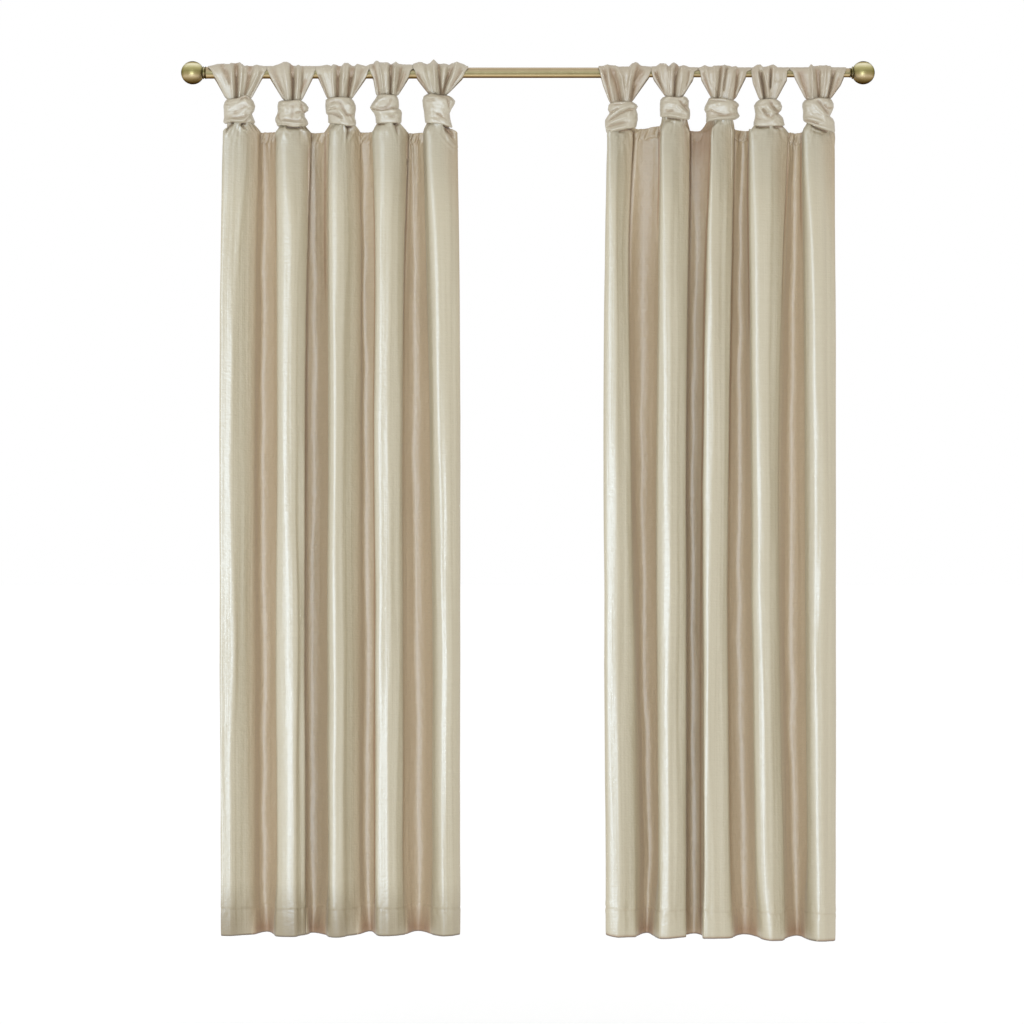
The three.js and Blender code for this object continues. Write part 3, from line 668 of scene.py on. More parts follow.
# ------------------------------------------------------------------ tabs: tables in front-view units
# top: outline over the rod; L, R: side edges from rod to knot; pleats: lines from
# rod to knot; kL, kR: the knot's sides; kt, kb: its top and bottom edge; marks: its
# wraps and creases; foot: where the strip meets the heading, left and right.
TABS = {
    "left_1": dict(
        fold=0, rod=14.3,
        top=[(207.9, 66.3), (213, 65.4), (218, 64), (224, 63.6), (229, 64.2), (231, 63.2), (236, 62.8), (240, 62.4), (242.5, 65), (244, 66.5), (247, 65.2), (250, 66), (252, 67), (254.5, 65.2), (260, 65.4), (266.3, 66.6)],
        L=[(208, 66.5), (216.5, 80), (226.4, 98.5)], R=[(266.75, 67), (266.7, 69.9), (262.4, 77), (250.8, 98.5)],
        strips=[(0.55, 3.0, [(222, 67), (227, 78)])],
        pleats=[
            ("p", 3, (4, 3), [(212, 68), (222, 84), (229, 98)]),
            ("r", -4, (3.5, 1.5), [(223, 67), (228, 76), (230, 86)]),
            ("p", 5, 1.6, [(231, 62), (231.5, 78), (233.5, 98)]),
            ("p", -9, (2.2, 1.8), [(236, 66), (236.3, 80), (236.5, 99)]),
            ("p", 6, 1.8, [(243, 62), (241.5, 82), (239.5, 98)]),
            ("p", -5, (3.5, 2), [(250, 66), (248.5, 80), (245, 94)]),
            ("p", 4, (1.8, 1.5), [(256.5, 64), (258.5, 73), (253, 85), (247, 95)]),
            ("p", -3, (1.5, 1), [(261.5, 72), (256, 85), (250, 96)]),
        ],
        kL=[(227, 98.5), (224.4, 102), (223.4, 106), (223.9, 112), (224, 117), (223.2, 122), (224.5, 124.2)],
        kR=[(250, 96.5), (253.5, 101), (255.3, 106), (254.2, 111), (252, 114.5), (253.5, 118), (255.2, 121.8), (254.6, 124)],
        kt=[(227, 98.8), (233, 98.8), (239, 97.6), (242, 95.8), (246, 94.8), (250, 97)],
        kb=[(224.5, 124), (228, 122.9), (232, 122), (238, 122.8), (244, 122.8), (250, 122.6), (254.6, 124)],
        marks=[
            ("r", 2.4, 1.4, [(224.5, 121.2), (232, 119.8), (240, 120.6), (245, 119.8), (249.5, 115.5), (252, 111)]),
            ("r", -2.2, 1.3, [(230, 117.6), (238, 117.8), (245, 116.5), (248.5, 112.5)]),
            ("r", -1.6, 2.6, [(233, 114), (240, 109), (248, 104)]),
            ("r", 2.0, 3.0, [(227.5, 104), (227.5, 112)]),
            ("r", -2.4, 1.1, [(240, 100), (243, 97.4), (247, 97.2), (250.5, 99.5)]),
            ("r", -2.6, 1.0, [(245.5, 122.6), (248, 118.5), (251.5, 114.2)]),
            ("r", 1.8, 1.6, [(249, 119), (252.5, 121)]),
        ],
        under=[(230.5, 234, 1), (241.5, 246, 1)],
        foot=((223.3, 134), (259.6, 133)), pockets=[
            (7, 1.5, [(231, 124.5), (228, 128), (226, 132)]), (6, 1.5, [(242, 124.5), (244.5, 127.5), (247, 129)])],
        folds=[(1.6, 1.0, [(246, 124), (251, 128), (252, 131), (247, 132)]), (1.4, 1.3, [(232.5, 125), (229, 131), (226, 135)])],
    ),
    "left_2": dict(
        fold=1, rod=14.3,
        top=[(266.9, 66.5), (273, 66), (279, 64), (284, 62.4), (287, 62), (290, 63), (293, 65.5), (297, 66.4), (302, 66.6), (314.2, 67.2)],
        L=[(266.85, 67), (266.9, 69.9), (270.2, 77), (284, 100)], R=[(315.3, 67), (315.3, 70.8), (312.2, 78), (301.7, 99.6)],
        strips=[(0.7, 2.2, [(305.5, 81), (301.5, 91)]), (0.35, 2.5, [(272, 72), (281, 90)])],
        pleats=[
            ("p", -3, (3, 2), [(273, 70), (279, 84), (284.5, 98)]),
            ("p", 5, (3, 2.5), [(283, 62), (286, 80), (288.5, 99)]),
            ("p", -10, (2, 1.8), [(291.5, 64), (292.8, 82), (292.7, 101)]),
            ("p", 6, (2.2, 2), [(298.5, 63), (298, 82), (296.5, 99)]),
            ("p", -4, (1.2, 1), [(302.5, 66), (302, 84), (300, 99)]),
            ("p", 2, 2, [(309, 70), (305, 84), (301.5, 97)]),
        ],
        kL=[(281, 100.2), (278.2, 102), (277.4, 106), (277.8, 111), (277, 114), (275.2, 118), (275.2, 121), (276.5, 124), (277.2, 126.5)],
        kR=[(302, 100.5), (306, 103.5), (308.9, 107.5), (308.2, 111), (304.5, 113.5), (305, 117), (307.5, 121), (308.3, 124), (307, 126.5)],
        kt=[(281, 100.3), (287, 100.8), (293, 100), (298, 99.5), (302, 100.6)],
        kb=[(277.2, 126.6), (281, 125.4), (286, 125.5), (290, 126.5), (296, 127), (302, 126.6), (307, 126.2)],
        marks=[
            ("r", -3.0, 1.2, [(302, 102.5), (301.8, 107), (303.5, 111), (306.5, 113.5)]),
            ("r", -1.8, 1.0, [(293.2, 103), (292.8, 112), (291.2, 120)]),
            ("r", 1.8, 3.0, [(284, 104), (285, 115)]),
            ("r", 2.6, 1.8, [(298.5, 116), (302, 117.5)]),
            ("r", -1.8, 1.0, [(295, 112.5), (300, 112), (303.5, 113.5)]),
            ("r", 2.2, 1.2, [(276.5, 122.6), (284, 121.8), (292, 122.8), (300, 123.4), (307.5, 122.4)]),
            ("r", -1.8, 0.9, [(280, 119.6), (288, 120.2), (296, 120.8), (304, 119.8)]),
            ("r", -2.2, 1.0, [(278.5, 113.5), (278, 117.5), (280, 120.5)]),
        ],
        under=[(286, 305, 0.8), (277, 280, 0.5)],
        foot=((276.0, 134), (311.2, 134)), pockets=[(2.0, 1.2, [(287, 127.4), (292, 128.2), (297, 127.6)])],
        folds=[(1.4, 1.0, [(284.5, 127), (287, 131), (292, 133)]), (1.2, 1.0, [(299, 128), (305, 131.5), (310, 135)])],
    ),
    "left_3": dict(
        fold=2, rod=14.3,
        top=[(316.1, 67), (322, 66), (327, 64.9), (330, 65.4), (331.5, 66), (334, 64.4), (336.5, 64.7), (340.5, 66.8), (344, 64), (348, 63), (351.5, 65.5), (353.5, 66.6), (357.5, 64.1), (362, 65.2), (366, 66), (369.7, 64.2)],
        L=[(315.4, 67), (315.4, 70.8), (318.8, 78), (327.6, 98.5)], R=[(369.9, 67), (368.9, 70.4), (366.0, 77), (352.2, 97.4)],
        strips=[(0.4, 2.5, [(362, 70), (356, 88)])],
        pleats=[
            ("p", 3, (4, 2), [(322, 66), (327, 84), (330.5, 97)]),
            ("p", -4, (2, 1.2), [(319.5, 76), (324.5, 88), (328.3, 98)]),
            ("p", 5, 1.5, [(333, 63), (332.8, 82), (334.3, 97)]),
            ("p", -8, (2.5, 2), [(338.5, 66), (337.5, 82), (337.3, 98)]),
            ("p", 6, (2.5, 2), [(345, 62), (343, 82), (343, 97)]),
            ("p", -9, (2.8, 1.8), [(352.5, 69), (350, 82), (348, 98)]),
            ("p", 4, (2, 1.5), [(357, 63), (355, 82), (351, 96)]),
            ("p", -2.5, (2, 1.2), [(363, 70), (359, 82), (353, 95)]),
        ],
        kL=[(327.5, 97.6), (325.4, 100), (325.2, 106), (325.8, 112), (326.2, 114), (328, 116), (328, 120), (328, 124.5)],
        kR=[(351, 97.6), (354, 101), (355.8, 105), (356, 109), (355, 113.5), (354.6, 117), (355.6, 120), (356.3, 125.2)],
        kt=[(327.5, 98), (333, 97.2), (341, 96.8), (348, 97.2), (351, 98)],
        kb=[(328, 123.4), (334, 123.8), (340, 124.2), (347, 125.8), (352, 126), (356.3, 125.4)],
        marks=[
            ("l", 3.4, 1.6, [(343, 119.5), (338, 116.6), (332, 114.4), (325.5, 114.2)]),
            ("r", -3.0, 1.1, [(337, 99.5), (341, 104), (343.6, 110), (347, 114.6), (352, 115.6), (355.5, 113)]),
            ("r", 2.0, 1.7, [(328, 107.4), (333, 105.4), (338, 104)]),
            ("r", -1.8, 1.0, [(327.5, 110), (333, 108.2), (338, 108.6)]),
            ("r", 2.4, 1.6, [(336, 107), (340.5, 112.5), (345, 118)]),
            ("r", 2.0, 2.4, [(348, 103), (351, 109)]),
            ("r", -1.2, 1.2, [(330, 102.4), (335, 101)]),
        ],
        under=[(345.5, 353, 1)],
        foot=((323.2, 134), (360.3, 133.2)), pockets=[(9, 1.5, [(349.5, 126.5), (348.8, 131), (347, 138)])],
        folds=[(1.6, 1.2, [(345.5, 127), (345.8, 133), (345, 142)]), (1.2, 1.1, [(356, 127), (353, 134), (349, 141)])],
    ),
    "left_4": dict(
        fold=3, rod=14.3,
        top=[(370.2, 64.3), (373.5, 63.6), (375, 61.5), (376.5, 60.7), (379, 62.5), (383, 62.6), (388, 62.4), (391, 64.2), (393.5, 63), (396, 62.3), (399, 64), (404, 64.4), (412.7, 64.6)],
        L=[(370.0, 64.5), (369.1, 70.4), (373.4, 78), (376.3, 94.5)], R=[(412.95, 66), (412.9, 69.4), (410.6, 71.2), (408.3, 77.5), (397.6, 95)],
        strips=[(0.35, 2.0, [(373, 68), (377, 88)]), (0.6, 2.0, [(404, 75), (398.5, 90)])],
        pleats=[
            ("p", -4, (2, 1.5), [(373.5, 66), (377, 80), (379.5, 94)]),
            ("p", 7, 1.6, [(376.5, 60), (381.5, 76), (383.5, 93)]),
            ("p", 2, (3, 2), [(386, 62), (386.5, 80), (386.8, 93)]),
            ("p", -9, (1.8, 1.5), [(391.2, 64), (390.8, 80), (390.4, 95)]),
            ("p", 6, (2, 1.8), [(396, 61), (394.7, 78), (393.6, 93)]),
            ("p", -5, (2, 1.6), [(401, 68), (399, 80), (396.3, 94)]),
            ("p", 3, (2, 1.5), [(406, 68), (403, 80), (397.5, 93)]),
        ],
        kL=[(377.5, 94.2), (375.5, 98), (372, 103), (369.8, 107.3), (371.5, 110), (374, 113), (375.5, 117), (376, 123.5)],
        kR=[(396.5, 94.6), (398.5, 99), (399, 104), (398.8, 108.5), (401, 110), (402, 113), (401.6, 119), (401.5, 123.3)],
        kt=[(377.5, 94.6), (383, 94), (389, 94.3), (396.5, 95)],
        kb=[(376, 123.8), (384, 123.2), (392, 122.8), (401.5, 123.2)],
        marks=[
            ("l", 4.2, 1.7, [(399.5, 108), (390, 109.2), (383, 110.6), (376, 110.6), (369.5, 109)]),
            ("r", 2.0, 1.5, [(373, 105.6), (379, 99.5), (387, 96.4)]),
            ("r", -1.8, 1.4, [(392.5, 97), (389.5, 103), (387, 107)]),
            ("r", -1.5, 1.0, [(374, 107), (382, 107.6), (390, 106.4)]),
            ("r", 2.0, 1.8, [(392, 111.8), (397, 111.4)]),
            ("r", -2.2, 1.4, [(387.5, 114), (391.5, 116.2), (396.5, 115.6)]),
            ("r", 1.4, 2.5, [(380, 115), (381, 120)]),
        ],
        under=[(377, 385, 0.5), (393.5, 399.5, 1)],
        foot=((372.9, 134), (407.0, 133.6)), pockets=[(7, 1.7, [(396.5, 124.5), (397.2, 129), (397.8, 134)])],
        folds=[(1.4, 1.2, [(392, 125), (393.5, 132), (396, 141)]), (1.4, 1.2, [(377.5, 126), (375.5, 130), (374, 134)])],
    ),
    "left_5": dict(
        fold=4, rod=14.3,
        top=[(413.2, 64), (415, 63), (418.5, 62.2), (423, 62.9), (427, 64.5), (430, 63), (433.7, 60.1), (436, 61.8), (438.5, 63.8), (444, 63.6), (449, 64.8), (452, 63.2), (456.5, 62.3), (460, 63), (463.5, 64.2), (468.2, 66.6)],
        L=[(413.0, 66), (413.1, 69.4), (414.7, 71.6), (417.3, 78), (428.6, 93)], R=[(468.2, 67), (462, 78), (446.9, 94)],
        strips=[(0.75, 1.8, [(417.5, 75), (427.5, 92)]), (0.45, 2.0, [(461, 70), (452, 86)])],
        pleats=[
            ("p", 4, (4, 2), [(421, 63), (425, 78), (429.5, 91)]),
            ("p", -4, (2, 1.5), [(417.5, 76), (423.5, 84), (428.5, 93)]),
            ("p", 7, (3, 2.5), [(433.5, 60), (434.5, 76), (435.5, 92)]),
            ("p", -8, (1.6, 1.5), [(438.3, 65), (439.5, 80), (441, 94)]),
            ("r", 4, (3, 1.5), [(445, 63), (444, 78), (442.3, 90)]),
            ("p", -8, (2.2, 2), [(452, 69), (446.5, 80), (442.8, 95)]),
            ("p", 5, (2.5, 2), [(458, 62), (452, 80), (445.8, 93)]),
            ("p", -3, (1.2, 1), [(462, 71), (455, 82), (447.4, 94)]),
        ],
        kL=[(427, 93.2), (423.6, 95.5), (422.3, 100), (422.8, 106), (424, 112), (424.6, 118), (425.3, 123.3)],
        kR=[(447, 94.2), (452, 96.8), (455.4, 100.5), (454.6, 104), (451.5, 109), (449.8, 114), (450.5, 120), (452.8, 127.6)],
        kt=[(427, 93.8), (432, 93), (437, 94.5), (443, 95.3), (447, 94.8)],
        kb=[(425.3, 123.4), (433, 123.2), (441, 123.9), (447, 125.8), (452.8, 127.8)],
        marks=[
            ("r", 2.6, 1.6, [(424.5, 96.6), (430, 97.6), (436.5, 96.6)]),
            ("r", -1.6, 1.2, [(425, 100.2), (431, 100.4), (436, 99)]),
            ("r", -3.0, 1.2, [(447.5, 97.5), (449, 103), (449.8, 109)]),
            ("r", 2.2, 1.6, [(451.5, 99.5), (451.8, 103)]),
            ("r", -2.0, 1.1, [(435.5, 113), (440, 114.6), (443.5, 117.4)]),
            ("r", 1.4, 2.5, [(431, 106), (432, 116)]),
            ("r", -1.6, 0.9, [(437, 94.5), (444, 97), (448, 97.6)]),
        ],
        under=[(443, 453, 0.9)],
        foot=((423.3, 134), (457.0, 138)), pockets=[(9, 3.0, [(448.5, 128.5), (451.5, 133), (453.6, 138)])],
        folds=[(1.8, 0.9, [(443.2, 126), (444.6, 132), (448, 139), (453, 144.5), (458, 147)]), (1.2, 1.0, [(439, 134), (444, 141), (450, 147), (457, 151)])],
    ),
    "right_1": dict(
        fold=0, rod=12.7,
        top=[(598.1, 66), (603, 66), (606, 64.9), (608, 64.7), (614, 65.6), (619, 66.6), (629, 66.4), (632, 64), (635.5, 62.1), (638, 63), (641, 65.8), (650.2, 66.4)],
        L=[(598.5, 67), (603, 84), (610.1, 103)], R=[(651.1, 67), (651.1, 71.7), (648.8, 76.5), (631.7, 101)],
        strips=[(0.7, 4.0, [(641, 73), (636, 86), (632, 97)]), (0.6, 3.5, [(611, 72), (616, 90), (618, 99)]), (1.0, 1.3, [(617, 98), (618, 101)]), (1.0, 1.2, [(621.6, 98), (622, 101)])],
        pleats=[
            ("p", -4, (2, 1.5), [(604, 70), (607.5, 84), (611.5, 102)]),
            ("p", 4, 1.6, [(607.5, 63), (609.5, 84), (614, 102)]),
            ("p", -6, (4, 2.5), [(612.5, 70), (617, 84), (620.5, 100)]),
            ("p", 5, (2, 1.8), [(614.5, 64), (621.5, 77), (625.3, 101)]),
            ("p", 5, (2, 1.8), [(633, 62), (629.8, 80), (628, 101)]),
            ("p", -7, (2.5, 1.8), [(638.5, 69), (634, 82), (631.3, 100)]),
            ("r", 2.5, 1.6, [(646, 71), (639, 77), (633, 85)]),
        ],
        kL=[(611, 102), (608.5, 105), (607.7, 109.5), (609.5, 113), (607, 116.5), (604.8, 120), (605, 125), (605.8, 130), (606.8, 133.5)],
        kR=[(632, 100.8), (636.5, 103.8), (638, 106.2), (636.3, 109), (637.6, 114), (637.8, 119), (636.8, 124), (636.3, 127.8)],
        kt=[(611, 102.3), (616, 101.5), (622, 101.3), (628, 101), (632, 101.3)],
        kb=[(606.8, 133.6), (613, 132.3), (620, 130.5), (628, 128.8), (636.3, 127.8)],
        marks=[
            ("r", -3.0, 1.2, [(605.5, 122), (612, 118.4), (620, 113.4), (629, 109.6), (636, 109)]),
            ("r", -2.4, 1.1, [(608.5, 115), (613, 111.4), (619, 107.6)]),
            ("r", 2.6, 1.8, [(606, 119), (612, 114.6), (620, 109.6), (630, 105.4)]),
            ("r", -2.2, 1.2, [(606, 127), (616, 124), (628, 121.4)]),
            ("r", 2.2, 2.0, [(607, 124), (617, 120), (629, 115.6)]),
            ("r", 2.0, 1.2, [(630.5, 104), (635, 105.8), (637.5, 106.2)]),
            ("r", -1.6, 1.0, [(612, 104.4), (620, 104), (628, 103)]),
            ("r", 2.0, 1.6, [(608, 131), (617, 128.6), (628, 126)]),
        ],
        under=[(619, 637, 0.6)],
        foot=((606.9, 135), (638.2, 130.6)), pockets=[(4, 1.2, [(634.5, 130), (634.4, 138), (634, 150)])],
        folds=[(1.4, 1.2, [(623, 131), (622.6, 140), (622.6, 156)])],
    ),
    "right_2": dict(
        fold=1, rod=11.1,
        top=[(651.8, 66.5), (656, 66), (660, 63.6), (663.2, 63.3), (666, 64.5), (668.5, 66.3), (671, 64.5), (674, 62.4), (677, 64), (679, 66.5), (682, 66), (686, 65.8), (689, 67), (696.3, 67.2)],
        L=[(651.25, 67), (651.3, 71.7), (654.0, 79), (665.9, 96.5)], R=[(697.8, 67), (697.6, 69.6), (694.6, 71.3), (692.8, 79), (682.2, 96.4)],
        strips=[(0.45, 1.8, [(657, 74), (663, 92)]), (0.3, 3.0, [(690, 70), (685, 88)])],
        pleats=[
            ("p", 3, 2, [(660, 63), (661.5, 80), (666, 95)]),
            ("p", -5, (2, 1.6), [(656.5, 74), (661.5, 86), (666, 97)]),
            ("p", 5, 2, [(665.5, 64), (668, 80), (669, 96)]),
            ("p", 4, 2, [(672, 62), (671.5, 80), (671.5, 96)]),
            ("p", -9, (1.8, 1.6), [(677, 66), (675.2, 80), (674.3, 97)]),
            ("p", 5, (3.5, 3), [(683.5, 64), (681, 80), (679, 96)]),
            ("r", -3, (1.5, 1), [(689, 68), (688, 80), (686, 88)]),
        ],
        kL=[(663, 96.4), (660.4, 99.5), (659.9, 104), (659.9, 110), (660, 117)],
        kR=[(687, 96.6), (689, 100.5), (688.6, 106), (690, 110), (690.2, 115), (689.3, 119.6)],
        kt=[(663, 96.8), (668, 96.2), (676, 97), (680, 97.3), (684, 96.2), (687, 97.2)],
        kb=[(660, 117), (667, 117.2), (675, 118), (683, 119.2), (689.3, 119.8)],
        marks=[
            ("r", -1.8, 1.3, [(664.5, 109.8), (669.5, 111.2), (674.5, 110.4)]),
            ("r", 2.0, 2.0, [(662, 104), (670, 103.5), (677, 104.5)]),
            ("r", 2.2, 1.3, [(677, 104.5), (682.5, 110), (689, 115)]),
            ("r", -3.2, 1.2, [(679.5, 99.5), (682.5, 104), (686, 107.5), (689, 112)]),
            ("r", -4.0, 0.9, [(685, 105.2), (687.4, 105.4)]),
            ("r", 2.4, 1.5, [(684, 99), (686.5, 102)]),
            ("r", 1.6, 1.3, [(662, 114.5), (672, 115), (683, 117)]),
        ],
        under=[(667, 681, 0.6)],
        foot=((660.2, 124), (691.6, 132)), pockets=[(2.5, 2.0, [(667, 120.5), (672, 121)])],
        folds=[(1.0, 1.2, [(672, 120), (678, 122.5), (686, 123)])],
    ),
    "right_3": dict(
        fold=2, rod=11.1,
        top=[(699.5, 67.5), (702, 66.5), (704.6, 65.4), (708, 66.8), (712, 67.3), (717, 65.7), (721, 65.3), (726, 65.3), (729.5, 66), (732, 67), (735.8, 65.8), (738, 67.8), (743, 68.2), (750.9, 68.2)],
        L=[(698.2, 67), (698.6, 69), (700.0, 71), (701.4, 79), (710.9, 96.4)], R=[(751.2, 68.6), (750.8, 69.8), (747.0, 71.4), (745.2, 77.5), (734.7, 99)],
        strips=[(0.75, 2.2, [(705, 80), (710.5, 94)]), (0.4, 2.0, [(745, 71), (738, 88)])],
        pleats=[
            ("p", 2.5, (4, 2), [(706, 65), (708, 82), (711, 95)]),
            ("p", -3, 1.8, [(703.5, 74), (707.5, 86), (711.5, 97)]),
            ("p", 5, (3, 2), [(714, 66), (715, 82), (714.5, 97)]),
            ("p", -6, 1.6, [(721.5, 66), (720, 80), (717.5, 98)]),
            ("p", 5, (1.8, 1.6), [(724.5, 65), (722, 82), (720.5, 97)]),
            ("p", -5, 1.2, [(727, 67), (725, 78), (723.5, 90)]),
            ("p", 4, 3, [(731.5, 68), (729.5, 84), (727.5, 98)]),
            ("p", -6, (1.8, 1.6), [(737.8, 69), (736.5, 84), (734.2, 99)]),
            ("p", 2, (2.5, 1.5), [(744, 70), (740, 82), (736, 94)]),
        ],
        kL=[(709, 97), (707.5, 100.5), (704.8, 106), (704.2, 109.5), (706.2, 113), (706, 118), (705.6, 122)],
        kR=[(734.8, 99.6), (738.6, 103), (739.2, 104.8), (737.6, 108), (737.8, 111.5), (739.7, 115.5), (738.5, 117.5), (735, 119.8)],
        kt=[(709, 97.6), (716, 98.3), (724, 98), (730, 99.6), (734.8, 100.4)],
        kb=[(705.6, 122.6), (710, 121.3), (716, 120.3), (724, 119.8), (735, 120)],
        marks=[
            ("r", 2.2, 2.2, [(706.5, 109), (711, 104.5), (718, 103)]),
            ("r", -2.0, 1.2, [(706, 113), (711, 110.5), (716, 112.5), (724, 115.6)]),
            ("r", 2.0, 1.2, [(709, 119.4), (718, 118.2), (730, 117.8), (738, 116)]),
            ("r", -1.8, 1.1, [(716, 115), (726, 115.2), (735, 113.4)]),
            ("r", -2.0, 1.2, [(733, 104), (737.5, 107.8)]),
            ("r", 1.8, 3.0, [(722, 104), (730, 107)]),
            ("r", -1.8, 0.9, [(710, 100), (718, 100.6), (727, 101)]),
        ],
        under=[(705.5, 712, 0.8)],
        foot=((699.6, 132), (737.4, 131)), pockets=[(4, 1.2, [(711, 123), (711.2, 128), (711, 134)])],
        folds=[(1.4, 1.0, [(712, 122.5), (712.6, 130), (712.2, 142)]), (1.0, 1.0, [(714, 124.5), (722, 125), (733, 123.5)])],
    ),
    "right_4": dict(
        fold=3, rod=11.1,
        top=[(751.3, 68.5), (754, 67), (757.7, 65.2), (760, 66), (763.5, 67), (768, 66.4), (771, 65), (773.5, 64.6), (776, 66), (778, 68), (782, 68), (787.5, 68.2)],
        L=[(751.5, 68.6), (751.5, 73), (752.9, 82), (759.6, 99.3)], R=[(789.7, 68.2), (788.9, 69.3), (787.3, 71), (786.7, 79), (776.4, 98.5)],
        strips=[(0.45, 1.6, [(753.5, 72), (756.5, 86)])],
        pleats=[
            ("p", 4, (3, 2), [(756, 66), (759, 84), (762.3, 98)]),
            ("p", -10, (2, 1.6), [(761, 74), (763.3, 86), (764.8, 99)]),
            ("p", 6, 1.8, [(759.5, 64), (764.8, 76), (767.3, 90), (768, 98)]),
            ("p", 3, 3, [(767.5, 66), (768.5, 82), (769, 95)]),
            ("r", -9, 1.3, [(771.3, 66), (770.5, 80), (770, 91)]),
            ("p", 3, (4, 3), [(779, 68), (778, 84), (775, 97)]),
            ("r", -2, 1.2, [(774, 80), (779, 81.5), (784, 80)]),
        ],
        kL=[(759.5, 98.8), (756, 101.5), (753.8, 105), (754.6, 109), (755.2, 113), (754.6, 118), (753.6, 121.5), (753.4, 125.5)],
        kR=[(776.5, 98.4), (780.5, 101.5), (782.2, 106), (781.2, 110), (778.4, 112.8), (781, 115), (783, 117.5), (784, 122), (784.8, 125.5)],
        kt=[(759.5, 99.5), (765, 98.6), (772, 98.3), (776.5, 99)],
        kb=[(753.4, 126), (761, 126.2), (770, 126), (778, 126), (784.8, 125.8)],
        marks=[
            ("r", -3.8, 1.3, [(770.5, 101), (772.5, 106), (776, 110), (780, 112.4)]),
            ("r", -3.8, 1.4, [(762.5, 108), (765.5, 112.8), (770, 116.6)]),
            ("r", 2.6, 1.6, [(765, 102.5), (769.5, 109), (775, 114.5)]),
            ("r", 2.2, 1.8, [(757, 104.5), (760.5, 110), (765, 117)]),
            ("r", -2.0, 1.1, [(771, 118), (774.5, 114.5), (779, 113)]),
            ("r", 2.2, 1.8, [(771.5, 122), (777, 118), (782, 117)]),
            ("r", -1.2, 1.0, [(755.5, 118), (761, 119.4)]),
            ("r", 2.0, 2.0, [(776.5, 103.5), (779.5, 107)]),
        ],
        under=[(756, 770, 0.6), (774, 785, 0.7)],
        foot=((751.2, 133), (788.6, 134.2)), pockets=[(1.2, 1.1, [(757, 127.6), (763, 128.4), (768, 127.8)]), (2.5, 1.2, [(775.5, 127.4), (780, 128.4), (783.5, 127.6)])],
        folds=[(1.0, 0.9, [(775, 130), (780, 131), (785, 133)])],
    ),
    "right_5": dict(
        fold=4, rod=11.1,
        top=[(792.1, 68.2), (800, 68.3), (806, 68.5), (809, 67), (810.8, 64.9), (813, 66.4), (816, 66), (820, 65.4), (825, 65.6), (830, 66.2), (831.8, 68.3), (846.2, 68.8)],
        L=[(790.0, 68.2), (790.9, 70.0), (792.7, 71.6), (795.2, 78), (806, 99.3)], R=[(846.2, 70), (840.5, 84), (830.4, 98)],
        strips=[(0.6, 3.6, [(800, 75), (807.5, 96)]), (0.65, 2.6, [(838.5, 79), (832, 96)]), (1.0, 1.3, [(827, 97), (827.2, 99.5)])],
        pleats=[
            ("p", -4, (4, 2.5), [(801, 74), (804.5, 86), (808, 99)]),
            ("p", 6, 2, [(811.5, 64), (811.8, 82), (812.8, 99)]),
            ("p", -5, (2.5, 1.6), [(817, 69), (818, 84), (819, 98)]),
            ("p", -4, 0.9, [(819.8, 72), (819.6, 84), (819.4, 98)]),
            ("p", 5, 2, [(826, 66), (824.5, 84), (822.5, 97)]),
            ("p", 4, 1.6, [(830.5, 66), (829, 82), (826.5, 96)]),
            ("p", -8, (1.8, 1.5), [(833.8, 71), (830.8, 86), (828, 99)]),
            ("p", 2.5, (3, 1.5), [(840, 70), (835, 86), (830.3, 96)]),
        ],
        kL=[(805, 98.8), (802.6, 102), (802.2, 106), (803, 112), (802.7, 117), (803.4, 120.8), (805.5, 122.8)],
        kR=[(831, 98.2), (833.6, 103), (833.9, 107), (832, 112), (830, 116.3), (833, 118.5), (834.6, 122), (835.2, 132)],
        kt=[(805, 99.6), (811, 99.4), (818, 97.4), (826, 98), (831, 98.6)],
        kb=[(805.5, 122.8), (811, 124.6), (818, 127.5), (826, 130.5), (835.2, 132.5)],
        marks=[
            ("r", -3.4, 1.2, [(817, 99), (822.5, 106), (830, 115)]),
            ("r", -2.0, 1.2, [(824, 104), (828, 108), (833, 108)]),
            ("r", 2.2, 1.6, [(826, 101.5), (830.5, 103.5)]),
            ("r", 2.2, 1.8, [(812, 101), (818, 108), (827, 117)]),
            ("r", -2.8, 1.0, [(803.5, 120.2), (812, 121.6), (821, 124.4)]),
            ("r", 2.2, 1.5, [(804, 117.8), (813, 118.6), (824, 122)]),
            ("r", 2.0, 1.8, [(818, 125.4), (827, 128.4), (834.6, 130)]),
            ("r", 1.6, 3.0, [(807, 105), (808, 113)]),
        ],
        under=[(811, 828, 0.8)],
        foot=((802.6, 134.5), (835.6, 135)), pockets=[(1.2, 1.2, [(812, 130), (817, 132), (823, 134)])],
        folds=[(1.0, 1.0, [(809, 131), (811, 138), (812, 148)])],
    ),
}
for key, t in TABS.items():
    t["panel"] = LEFT if key.startswith("left") else RIGHT


def at_height(line, v):
    """Table x of a side line at table height v."""
    a = np.asarray(line, float)
    return np.interp(v, a[:, 1], a[:, 0])


def at_x(line, u):
    a = np.asarray(line, float)
    return np.interp(u, a[:, 0], a[:, 1])


